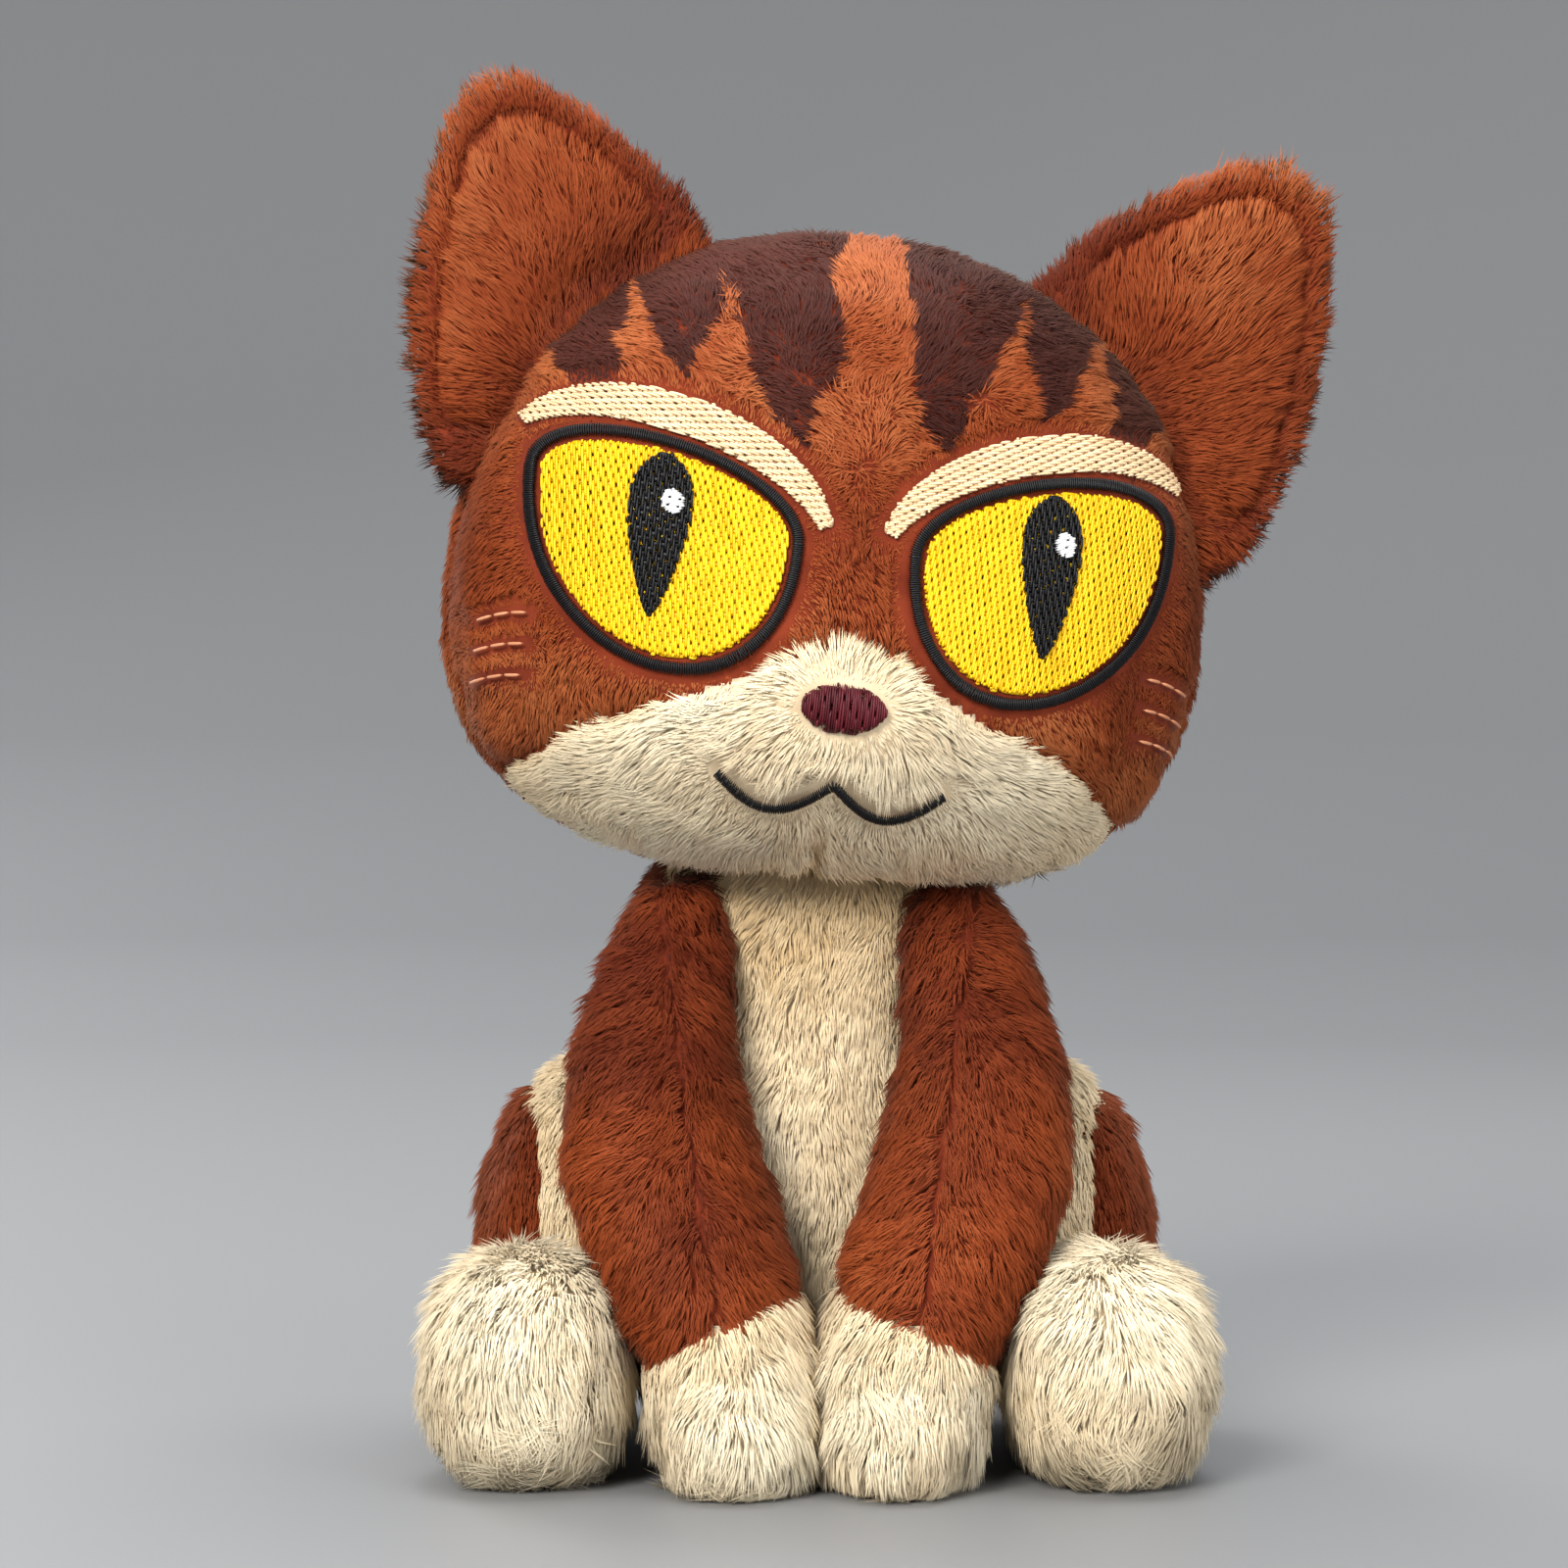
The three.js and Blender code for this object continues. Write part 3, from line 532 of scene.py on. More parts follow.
def inflate(piece, held, cap):
    """The skin as cloth under the stuffing's pressure, its seams held. No point moves further than cap."""
    before = points_of(piece.data)
    group = piece.vertex_groups.new(name="held")
    for index in np.flatnonzero(held > CLOTH["least_hold"]):
        group.add([int(index)], float(held[index]), "REPLACE")
    cloth = piece.modifiers.new("cloth", "CLOTH")
    cloth.settings.quality = CLOTH["quality"]
    cloth.settings.vertex_group_mass = "held"
    cloth.settings.use_pressure = True
    cloth.settings.uniform_pressure_force = CLOTH["pressure"]
    cloth.settings.effector_weights.gravity = 0
    cloth.collision_settings.use_collision = False
    for step in range(CLOTH["frames"]):
        bpy.context.scene.frame_set(step + 1)
    graph = bpy.context.evaluated_depsgraph_get()
    after = points_of(piece.evaluated_get(graph).data)
    piece.modifiers.remove(cloth)
    piece.vertex_groups.clear()
    bpy.context.scene.frame_set(1)
    move = after - before
    length = np.linalg.norm(move, axis=1, keepdims=True)
    set_points(piece.data, before + move * np.minimum(1, cap / np.maximum(length, 1e-9)))


SKIN_DEPTH = 0.9 * MM  # of the backing below the CAD's outer surface, where the tips of the pile are


def fitted(points, target, depth, grow):
    """Points stretched along X, Y and Z so that their box is the target points' box, less depth all round.

    grow adds millimetres to the box, below and above it along each axis.
    """
    low, high = points.min(axis=0), points.max(axis=0)
    aim_low = target.min(axis=0) + depth - np.array(grow[0]) * MM
    aim_high = target.max(axis=0) - depth + np.array(grow[1]) * MM
    return aim_low + (points - low) * (aim_high - aim_low) / (high - low)


# How deep a seam is drawn in, how wide it is, and how far from it the inflating cloth is held.
SEAM = {"depth": 1.1 * MM, "width": 1.7 * MM, "held": 2.2 * MM}
SETTLING_ROUNDS = 3
AS_DRAWN = ((0, 0, 0), (0, 0, 0))
GROUND = {"skin": 0.5 * MM, "strands": 0.4 * MM}  # how near they come to what the cat sits on


def stuffed_skin(
    name, panels, inside, voxel, rounds=14, puff=1.3 * MM, depth=SKIN_DEPTH,
    grow=AS_DRAWN, seam_depth=SEAM["depth"], shape=None, sewn_on=None,
):
    """The smooth, puffed skin of a stuffed form with its seams drawn in, still in one mesh.

    shape gives further depths to draw in, and sewn_on moves the points that meet another form.
    """
    piece = closed_form(name, [*panels, *inside], voxel)
    target = np.concatenate([points_of(nodes[panel].data) for panel in panels])
    edges = edges_of(piece.data)
    set_points(piece.data, relaxed(points_of(piece.data), edges, rounds))
    distances = panel_distances(points_of(piece.data), panels)
    held = 1 - smoothstep(0.5 * SEAM["held"], SEAM["held"], seam_distance(distances))
    inflate(piece, held, puff)
    set_points(piece.data, relaxed(points_of(piece.data), edges, SETTLING_ROUNDS))
    piece.modifiers.new("smooth", "SUBSURF").levels = 1
    apply_modifiers(piece)
    points = points_of(piece.data)
    distances = panel_distances(points, panels)
    seam = seam_distance(distances)
    lower = seam_depth * np.exp(-((seam / SEAM["width"]) ** 2))
    if shape is not None:
        lower = lower + shape(points)
    points = fitted(points, target, depth, grow) - normals_of(piece.data) * lower[:, None]
    if sewn_on is not None:
        points = sewn_on(points)
    points[:, 2] = np.maximum(points[:, 2], GROUND["skin"])
    set_points(piece.data, points)
    return {
        "piece": piece,
        "panels": panels,
        "points": points,
        "normals": normals_of(piece.data),
        "distances": panel_distances(points, panels),
        "triangles": triangles_of(piece.data),
    }


BACKING_THICKNESS = 0.7 * MM


def cut_panels(skin, coats, ride):
    """Cuts a skin along its seams into one backing for each panel, each with the cloth's thickness."""
    owner = np.argmin(skin["distances"], axis=1)
    for number, panel in enumerate(skin["panels"]):
        body = bmesh.new()
        body.from_mesh(skin["piece"].data)
        spare = []
        for face in body.faces:
            votes = [owner[vertex.index] for vertex in face.verts]
            if max(sorted(set(votes)), key=votes.count) != number:
                spare.append(face)
        bmesh.ops.delete(body, geom=spare, context="FACES")
        mesh = bpy.data.meshes.new(panel + "_backing")
        body.to_mesh(mesh)
        body.free()
        mesh.shade_smooth()
        piece = place_object(panel + "_backing", mesh)
        solid = piece.modifiers.new("cloth", "SOLIDIFY")
        solid.thickness = BACKING_THICKNESS
        solid.offset = -1
        apply_modifiers(piece)
        cloth, _, _ = coats[panel]
        piece.data.materials.append(BACKINGS[cloth])
        ride(piece)
        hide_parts(panel)
    bpy.data.objects.remove(skin["piece"])


# ---- pile

# Each kind of pile: strands on a square millimetre, their length and width in millimetres, the lean of their
# lower and upper halves from the skin's normal in degrees, the tufts' size in millimetres, how tightly they
# gather, and how far the comb wanders.
PILE_VALUES = ("density", "length", "width", "lean", "tuft", "gather", "wander")
PILE_ROWS = {
    "short": (6.8, 3.2, 0.25, (40, 74), 1.8, 0.3, 0.75),
    "plush": (6.4, 5.6, 0.25, (44, 78), 2.6, 0.4, 0.65),
    "ear": (6.2, 4.8, 0.25, (36, 68), 2.2, 0.4, 0.5),
    "long": (5.8, 7.6, 0.28, (48, 80), 3.6, 0.42, 0.6),
    "soft": (5.8, 5.4, 0.27, (50, 80), 2.8, 0.36, 0.55),
}
PILE = {kind: dict(zip(PILE_VALUES, values)) for kind, values in PILE_ROWS.items()}
STRANDS_IN_PIECE = 33000  # a larger pile is laid in several pieces


def scatter(skin, density, rng):
    """Roots spread evenly over a skin, with their normals and their distances to each panel."""
    corners = skin["points"][skin["triangles"]]
    across = np.cross(corners[:, 1] - corners[:, 0], corners[:, 2] - corners[:, 0])
    area = np.linalg.norm(across, axis=1) / 2
    count = int(area.sum() / SQUARE_MM * density * PILE_SHARE)
    chosen = np.searchsorted(np.cumsum(area), rng.random(count) * area.sum())
    chosen = np.minimum(chosen, len(area) - 1)
    first, second = rng.random(count), rng.random(count)
    flip = first + second > 1
    first[flip], second[flip] = 1 - first[flip], 1 - second[flip]
    share = np.stack([1 - first - second, first, second], axis=1)
    chosen_corners = skin["triangles"][chosen]

    def blended(values):
        return np.einsum("ij,ijk->ik", share, values[chosen_corners])

    return blended(skin["points"]), unit(blended(skin["normals"])), blended(skin["distances"])


SOFTNESS = 0.86  # how far a strand is shaded as the nap it stands in rather than as a rod
TIP_TURN = 0.3  # how far the normal at a strand's tip turns along it
PALETTE_AT = {"root": 0.02, "middle": 0.45, "tip": 0.98}
TONE_SPREAD = 0.004  # across a strand, so that its faces have some width in the palette


def strand_mesh(name, root, middle, tip, width, tone, skin_normal):
    """Strands as closed spindles: a root, three points round the middle, and a tip."""
    count = len(root)
    run = unit(tip - root)
    side = unit(np.cross(run, np.where(np.abs(run[:, 2:]) > 0.9, [[1.0, 0.0, 0.0]], [[0.0, 0.0, 1.0]])))
    other = np.cross(run, side)
    points = np.empty((count, 5, 3))
    points[:, 0] = root
    points[:, 4] = tip
    normals = np.empty((count, 5, 3))
    normals[:, 0] = skin_normal
    normals[:, 4] = unit(skin_normal + TIP_TURN * run)
    palette = np.empty((count, 5, 2))
    palette[:, :, 1] = tone[:, None]
    palette[:, 0, 0] = PALETTE_AT["root"]
    palette[:, 1:4, 0] = PALETTE_AT["middle"]
    palette[:, 4, 0] = PALETTE_AT["tip"]
    for corner in range(3):
        angle = 2 * math.pi * corner / 3
        around = side * math.cos(angle) + other * math.sin(angle)
        points[:, 1 + corner] = middle + around * (width / 2)[:, None]
        normals[:, 1 + corner] = unit(SOFTNESS * skin_normal + (1 - SOFTNESS) * around)
        palette[:, 1 + corner, 1] = tone + TONE_SPREAD * (corner - 1)
    pattern = np.array([[0, 2, 1], [0, 3, 2], [0, 1, 3], [4, 1, 2], [4, 2, 3], [4, 3, 1]])
    triangles = (np.arange(count)[:, None, None] * 5 + pattern).reshape(-1, 3)
    return triangle_mesh(
        name, points.reshape(-1, 3), triangles, palette.reshape(-1, 2), normals.reshape(-1, 3)
    )


# How strands vary: in waves of a size over the skin, from tuft to tuft, and each by itself.
WAVES = {"comb": 9 * MM, "fine_comb": 3 * MM, "lean": 6 * MM, "tone": 14 * MM}
COMB_VARIES = {"fine_waves": 0.4, "each": 0.35}
LENGTH_VARIES = {"each": (0.66, 0.44), "tuft": (0.8, 0.4)}  # the least, and how much more at most
LEAN_VARIES = {"waves": np.radians(9), "each": np.radians(12)}
TONE_VARIES = {"waves": 0.22, "tuft": 0.14, "each": 0.14}
WIDTH_VARIES = (0.75, 0.5)
TONE_LIMITS = (0.02, 0.98)
ROOT_DEPTH = 0.3 * MM
MIDDLE_GATHERS = 0.3  # as a share of how far the tip is gathered


def off_normal(vectors, normal):
    """The part of each vector that lies along the skin."""
    return vectors - normal * np.einsum("ij,ij->i", vectors, normal)[:, None]


def grow_pile(name, kind, cloth, root, normal, comb, rng, ride, shorten, painted_shading_shift, printed):
    """The standing pile of one panel. comb gives the way the pile is brushed at each root."""
    spec = PILE[kind]
    count = len(root)
    combed = comb + spec["wander"] * vector_noise(root, WAVES["comb"], SEED)
    combed = combed + COMB_VARIES["fine_waves"] * vector_noise(root, WAVES["fine_comb"], SEED + 5)
    combed = combed + COMB_VARIES["each"] * (rng.random((count, 3)) - 0.5)
    lay = unit(off_normal(combed, normal))
    to_tuft, tuft = nearest_tuft(root, spec["tuft"] * MM, SEED + 20)
    to_tuft = off_normal(to_tuft, normal)
    least, more = LENGTH_VARIES["each"]
    length = spec["length"] * MM * (least + more * rng.random(count))
    least, more = LENGTH_VARIES["tuft"]
    length = length * (least + more * tuft) * shorten
    tilt = LEAN_VARIES["waves"] * noise(root, WAVES["lean"], SEED + 9)
    tilt = tilt + LEAN_VARIES["each"] * (rng.random(count) - 0.5)
    lean_root, lean_tip = (np.radians(angle) + tilt for angle in spec["lean"])
    half = (length / 2)[:, None]
    start = root - normal * ROOT_DEPTH
    middle = start + half * (normal * np.cos(lean_root)[:, None] + lay * np.sin(lean_root)[:, None])
    tip = middle + half * (normal * np.cos(lean_tip)[:, None] + lay * np.sin(lean_tip)[:, None])
    middle = middle + MIDDLE_GATHERS * spec["gather"] * to_tuft
    tip = tip + spec["gather"] * to_tuft
    for part in (start, middle, tip):
        part[:, 2] = np.maximum(part[:, 2], GROUND["strands"])
    least, more = WIDTH_VARIES
    width = spec["width"] * MM * (least + more * rng.random(count))
    tone = 0.5 + TONE_VARIES["tuft"] * (tuft - 0.5) + TONE_VARIES["each"] * (rng.random(count) - 0.5)
    tone = tone + TONE_VARIES["waves"] * noise(root, WAVES["tone"], SEED + 31)
    # Painted light and shade, from the seams and the panel, shift the tone.
    tone = np.clip(tone + painted_shading_shift, *TONE_LIMITS)
    if cloth == "rust_pile":
        tone = RUST_SHARE * tone
        if printed is not None:
            tone = np.where(printed, tone + PRINT_FROM, tone)
    order = np.argsort(root[:, np.argmax(np.ptp(root, axis=0))], kind="stable")
    parts = math.ceil(count / STRANDS_IN_PIECE)
    for number, chosen in enumerate(np.array_split(order, parts)):
        piece_name = name if parts == 1 else f"{name}_{number + 1}"
        mesh = strand_mesh(piece_name, *(part[chosen] for part in (start, middle, tip, width, tone, normal)))
        mesh.materials.append(PILE_MATERIALS[cloth])
        piece = place_object(piece_name, mesh)
        ride(piece)


def away_from(pole, drop=0.0, reach=1.0):
    """Pile brushed away from a point, and down by drop."""
    pole = np.array(pole)
    return lambda points: unit(points - pole) * reach - drop * UP


def brushed(direction):
    direction = np.array(direction, float)
    return lambda points: np.tile(direction, (len(points), 1))


# How much shorter the pile is at a seam, how deep the painted shade on it is there, and over which distances from
# it each fades.
AT_SEAM = {
    "shorter": 0.38,
    "short_over": (0.4 * MM, 3.5 * MM),
    "darker": 0.25,
    "dark_over": (0.2 * MM, 2.4 * MM),
}


def cover(skin, coats, ride, seed, keep=None, shorten=None, printed=None, painted_shading=None, parting=1.0):
    """Grows the pile on every panel of a skin, and cuts the skin into the panels' backings.

    coats gives each panel's cloth, kind of pile and comb. parting is how plainly seams part the pile, and how deep
    the painted shade along them is. The painted shading adds painted light and shade to the tone at each root.
    """
    density = [PILE[kind]["density"] for _, kind, _ in coats.values()]
    rng = np.random.default_rng(SEED + seed)
    root, normal, distances = scatter(skin, max(density), rng)
    owner = np.argmin(distances, axis=1)
    seam = seam_distance(distances)
    stays = rng.random(len(root)) < np.array(density)[owner] / max(density)
    if keep is not None:
        stays &= keep(root)
    for number, (panel, (cloth, kind, comb)) in enumerate(coats.items()):
        chosen = stays & (owner == number)
        at = root[chosen]
        length = 1 - AT_SEAM["shorter"] * parting * (1 - smoothstep(*AT_SEAM["short_over"], seam[chosen]))
        if shorten is not None:
            length = length * shorten(at)
        # Painted shade along the seams, where the pile parts, and then the panel's painted light and shade.
        tone = -AT_SEAM["darker"] * parting * (1 - smoothstep(*AT_SEAM["dark_over"], seam[chosen]))
        if painted_shading is not None:
            tone = tone + painted_shading(at)
        dark = None if printed is None else printed(at)
        grow_pile(panel + "_pile", kind, cloth, at, normal[chosen], comb(at), rng, ride, length, tone, dark)
    cut_panels(skin, coats, ride)


def rides(body):
    return lambda piece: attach(piece, body)


# ---- outlines on the face, in the head's millimetres

EYE = {"x": 31.5, "inner": (11, 0), "outer": (51, 8.5), "rise": 8.5, "drop": 24, "fullness": 0.9, "line": 2.2}
# The pupil's corners from its middle, and the glint's place from it and radius.
PUPIL = [(0, 12.5), (-4.6, 8), (-4.4, -2), (0, -14), (4.4, -2), (4.6, 8)]
GLINT = {"right": 2, "up": 4.5, "radius": 2}
# The patch's greatest width; as shares of that, its half width at the ends and its swell to the middle; its
# gap to the outline; and the part of the upper lid, from the outer corner, that it follows.
PATCH = {"widest": 6.4, "ends": 0.16, "swell": 0.34, "clear": 0.3, "from": 0.15, "to": 0.93}


def almond(count, grow):
    """The almond of the right eye, anticlockwise from its inner corner, grown outwards by grow."""
    (inner_x, inner_z), (outer_x, outer_z) = EYE["inner"], EYE["outer"]
    slope = (outer_z - inner_z) / (outer_x - inner_x)
    angle = math.pi + np.arange(count) / count * 2 * math.pi
    across = ((outer_x - inner_x) / 2 + grow) * np.cos(angle)
    lid = np.where(np.sin(angle) > 0, EYE["rise"], EYE["drop"]) + grow
    rise = lid * np.sign(np.sin(angle)) * np.abs(np.sin(angle)) ** EYE["fullness"]
    middle_x = (inner_x + outer_x) / 2
    middle_z = (inner_z + outer_z) / 2
    return np.stack([middle_x + across, middle_z + slope * across + rise], axis=1)


def smooth_loop(corners, count):
    """A closed Catmull-Rom curve through corners."""
    corners = np.array(corners, float)
    total = len(corners)
    t = np.arange(count) / count * total
    cell = np.floor(t).astype(int)
    part = (t - cell)[:, None]
    a, b, c, d = (corners[(cell + step) % total] for step in (-1, 0, 1, 2))
    square = (2 * a - 5 * b + 4 * c - d) * part**2
    cube = (3 * b - a - 3 * c + d) * part**3
    return 0.5 * (2 * b + (c - a) * part + square + cube)


def ellipse(x, z, half_width, half_height, count=48):
    angle = np.arange(count) / count * 2 * math.pi
    return np.stack([x + half_width * np.cos(angle), z + half_height * np.sin(angle)], axis=1)


def band(line, half_width, closed=False):
    """The two edges of a band along a line."""
    if closed:
        run = np.roll(line, -1, axis=0) - np.roll(line, 1, axis=0)
    else:
        run = np.gradient(line, axis=0)
    run = unit(run)
    side = np.stack([-run[:, 1], run[:, 0]], axis=1) * half_width[:, None]
    return line - side, line + side


def mirror(line, side):
    return line * np.array([side, 1.0])


LINE_CLEAR = EYE["line"] / 2 + 0.45  # from the iris to the middle of its outline
LID_POINTS = 200


def eye_shapes(side):
    lid = almond(2 * LID_POINTS, 2 * LINE_CLEAR + PATCH["widest"] / 2 + PATCH["clear"])[LID_POINTS:]
    patch_line = lid[int(PATCH["from"] * LID_POINTS): int(PATCH["to"] * LID_POINTS)]
    t = np.linspace(0, 1, len(patch_line))
    half = PATCH["widest"] * (PATCH["ends"] + PATCH["swell"] * np.sin(math.pi * t) ** 0.7)
    low, high = band(patch_line, half)
    return {
        "iris": mirror(almond(160, 0), side),
        "line": mirror(almond(220, LINE_CLEAR), side),
        "edge": mirror(almond(90, 2 * LINE_CLEAR), side),
        "patch": mirror(np.concatenate([low, high[::-1]]), side),
        "pupil": mirror(smooth_loop(PUPIL, 60) + (EYE["x"], 0), side),
        "glint": ellipse(side * EYE["x"] + GLINT["right"], GLINT["up"], GLINT["radius"], GLINT["radius"], 24),
    }


eyes = {name: eye_shapes(side) for name, side in SIDES.items()}
nose_shape = ellipse(NOSE["x"], NOSE["z"], NOSE["half_width"], NOSE["half_height"])
MOUTH = {"half_width": 18, "top": -36.8, "dip": 4.6, "line": 1.5}
mouth_x = np.linspace(-MOUTH["half_width"], MOUTH["half_width"], 90)
mouth_dip = MOUTH["dip"] * np.sin(math.pi * np.abs(mouth_x) / MOUTH["half_width"])
mouth_line = np.stack([mouth_x, MOUTH["top"] - mouth_dip], axis=1)
WHISKER = {"from": 50.5, "to": 58.5, "levels": (-15, -20, -25), "fall": 2, "line": 0.6}


def whisker_line(side, level):
    t = np.linspace(0, 1, 20)
    x = side * (WHISKER["from"] + (WHISKER["to"] - WHISKER["from"]) * t)
    return np.stack([x, level - WHISKER["fall"] * t**2], axis=1)


def inside(outline, points):
    """Which points lie inside a closed outline."""
    following = np.roll(outline, -1, axis=0)
    count = np.zeros(len(points), int)
    for (x0, z0), (x1, z1) in zip(outline, following):
        crosses = (z0 > points[:, 1]) != (z1 > points[:, 1])
        height = np.where(z1 == z0, 1, z1 - z0)
        at = x0 + (points[:, 1] - z0) / height * (x1 - x0)
        count += crosses & (points[:, 0] < at)
    return count % 2 == 1


def distance_to(line, points, closed):
    """How far points are from a line, and the way to them from its nearest point."""
    following = np.roll(line, -1, axis=0)
    best = np.full(len(points), np.inf)
    way = np.zeros_like(points)
    for start, end in list(zip(line, following))[: None if closed else -1]:
        run = end - start
        t = np.clip((points - start) @ run / max(run @ run, 1e-12), 0, 1)
        away = points - start - t[:, None] * run
        distance = np.linalg.norm(away, axis=1)
        closer = distance < best
        best[closer] = distance[closer]
        way[closer] = away[closer]
    return best, unit(way)


def stitched_distance(points):
    """Signed distance from the embroidery, over the face, below 0 on it, and the way from it."""
    areas = [nose_shape]
    lines = [(mouth_line, MOUTH["line"])]
    for name, side in SIDES.items():
        areas += [eyes[name]["patch"], eyes[name]["edge"]]
        lines += [(whisker_line(side, level), WHISKER["line"]) for level in WHISKER["levels"]]
    best = np.full(len(points), np.inf)
    way = np.zeros_like(points)
    for outline, width, closed in [(area, 0, True) for area in areas] + [(*line, False) for line in lines]:
        distance, direction = distance_to(outline, points, closed)
        if closed:
            distance = np.where(inside(outline, points), -distance, distance)
        distance = distance - width / 2
        closer = distance < best
        best[closer] = distance[closer]
        way[closer] = direction[closer]
    return best, way


# The printed bars of a tabby, as (x at the top, x at the tip, level of the tip, half width at the top). They
# reach their full width at one level, and behind the ears their tips are higher. The edges ripple in waves.
BARS = [(15.5, 10.5, 16, 11.0), (32, 29, 25, 9.0), (47, 43, 13, 8.5)]
BARS_MEET = 52
BARS_RISE_BEHIND = 14
BARS_TAPER = 0.62
RIPPLES = [(2.4, 9.0), (0.9, 2.2)]  # how far and how long
SIDE_RIPPLE = 0.6


def printed_bar(place):
    """Which points of the head the print darkens."""
    across = np.abs(place[:, 0])
    ripple = sum(far * noise(place, size, SEED + 50 + number) for number, (far, size) in enumerate(RIPPLES))
    up = place[:, 2] + ripple
    dark = np.zeros(len(place), bool)
    for top_x, tip_x, tip_z, half in BARS:
        tip_z = tip_z + BARS_RISE_BEHIND * (place[:, 1] > 0)
        t = np.clip((up - tip_z) / (BARS_MEET - tip_z), 0, 1)
        middle = tip_x + (top_x - tip_x) * t
        dark |= (np.abs(across + SIDE_RIPPLE * ripple - middle) < half * t**BARS_TAPER) & (up > tip_z)
    return dark


# ---- head

HEAD_PANELS = ["face_panel", "muzzle_panel", "head_back_left", "head_back_right"]
HEAD_GROW = ((2.2, 0, 0), (1.0, 0, 2.4))
CHIN_DART = {"up": (-42, -47), "back": (0, -10), "depth": 1.7 * MM, "width": 1.5}
SOCKET_RADIUS = 37 * MM
SOCKET_CLEAR = 1.5 * MM


def chin_dart(points):
    place = in_head(points)
    on_chin = smoothstep(*CHIN_DART["up"], place[:, 2]) * smoothstep(*CHIN_DART["back"], place[:, 1])
    return CHIN_DART["depth"] * on_chin * np.exp(-((place[:, 0] / CHIN_DART["width"]) ** 2))


head_skin = stuffed_skin("head_skin", HEAD_PANELS, ["head_filling"], 3 * MM, grow=HEAD_GROW, shape=chin_dart)
head_tree = BVHTree.FromPolygons(
    [Vector(point) for point in head_skin["points"]], [tuple(t) for t in head_skin["triangles"].tolist()]
)

# Round the embroidery the pile is cut away, then short, and pushed off it.
BY_STITCHES = {"bare": 0.4, "shortest": 0.38, "short_over": (0.3, 4.5), "push": 2.6, "push_over": (0.5, 4.5)}


def from_stitches(points):
    """Over the face, the distance from the embroidery and the way from it. Behind the face it's far off."""
    place = in_head(points)
    distance, way = stitched_distance(place[:, [0, 2]])
    return np.where(place[:, 1] < 0, distance, np.inf), way


def head_keeps(root):
    """No pile in the neck's socket, or under the embroidery."""
    in_socket = np.linalg.norm(root - neck_pivot, axis=1) < SOCKET_RADIUS + SOCKET_CLEAR
    return ~in_socket & ~(from_stitches(root)[0] < BY_STITCHES["bare"])


def head_shorten(root):
    shortest = BY_STITCHES["shortest"]
    return shortest + (1 - shortest) * smoothstep(*BY_STITCHES["short_over"], from_stitches(root)[0])


def beside_stitches(comb):
    """Pile close to the embroidery is brushed away from it."""

    def brushed_off(points):
        distance, way = from_stitches(points)
        push = BY_STITCHES["push"] * (1 - smoothstep(*BY_STITCHES["push_over"], distance))
        return comb(points) + push[:, None] * (way[:, :1] * head_right + way[:, 1:] * head_up)

    return brushed_off


def head_painted_shading(root):
    """Painted light on the forehead, as lit from above, and on the muzzle, as lit from the floor; the lower outer
    cheeks are darker, and the chin's dart is in painted shade.
    """
    across, back, up = in_head(root).T
    forehead = 0.22 * smoothstep(8, 34, up) * smoothstep(10, -10, back)
    muzzle = 0.25 * smoothstep(-14, -24, up)
    cheeks = -0.16 * smoothstep(30, 52, np.abs(across)) * smoothstep(16, -8, up)
    dart = -0.5 * (chin_dart(root) / CHIN_DART["depth"]) ** 2
    return forehead + muzzle + cheeks + dart


crown_comb = away_from(head_point(0, -20, 60), drop=0.5)
head_coats = {
    "face_panel": (
        "rust_pile", "short", beside_stitches(away_from(head_point(0, -45, 10), drop=0.55, reach=0.8))
    ),
    "muzzle_panel": (
        "cream_pile", "soft", beside_stitches(away_from(head_point(NOSE["x"], -50, NOSE["z"] + 2), drop=0.15))
    ),
    "head_back_left": ("rust_pile", "short", crown_comb),
    "head_back_right": ("rust_pile", "short", crown_comb),
}
cover(
    head_skin, head_coats, rides("head"), 100,
    keep=head_keeps, shorten=head_shorten, printed=lambda root: printed_bar(in_head(root)), painted_shading=head_painted_shading,
)

# ---- embroidery

THREADS = {
    "yellow_thread": even_stops((222, 160, 0), (250, 200, 6), (255, 220, 40)),
    "black_thread": even_stops((4, 4, 6), (9, 9, 12), (18, 18, 22)),
    "white_thread": even_stops((222, 222, 224), (255, 255, 255)),
    "maroon_thread": even_stops((58, 10, 18), (84, 18, 28), (112, 34, 44)),
    "tan_thread": even_stops((186, 116, 80), (222, 158, 118)),
    "cream_thread": even_stops((222, 186, 140), (244, 212, 168), (252, 230, 194)),
}
# Painted shade along a stitch, as (place from end to end, level): its ends, where it goes down into the cloth, are
# painted darker.
THREAD_SHADE = [(0.0, 0.75), (0.1, 0.96), (0.5, 1.0), (0.9, 0.96), (1.0, 0.75)]
thread_materials = {
    name: palette_material(name, tones, THREAD_SHADE, roughness=0.45) for name, tones in THREADS.items()
}


def on_face(places):
    """Where points of the face, across and up in the head's frame, lie on its skin, and the normals there."""
    found = []
    outward = []
    for across, up in places:
        hit, normal, _, _ = head_tree.ray_cast(Vector(head_point(across, -120, up)), Vector(head_back))
        if hit is None:
            hit, normal, _, _ = head_tree.find_nearest(Vector(head_point(across, -20, up)))
        found.append(hit)
        outward.append(normal)
    return np.array(found), np.array(outward)


THREAD = {"rings": 5, "sides": 6, "arch": 0.45, "tone_varies": 0.5, "tone_limits": (0.03, 0.97)}


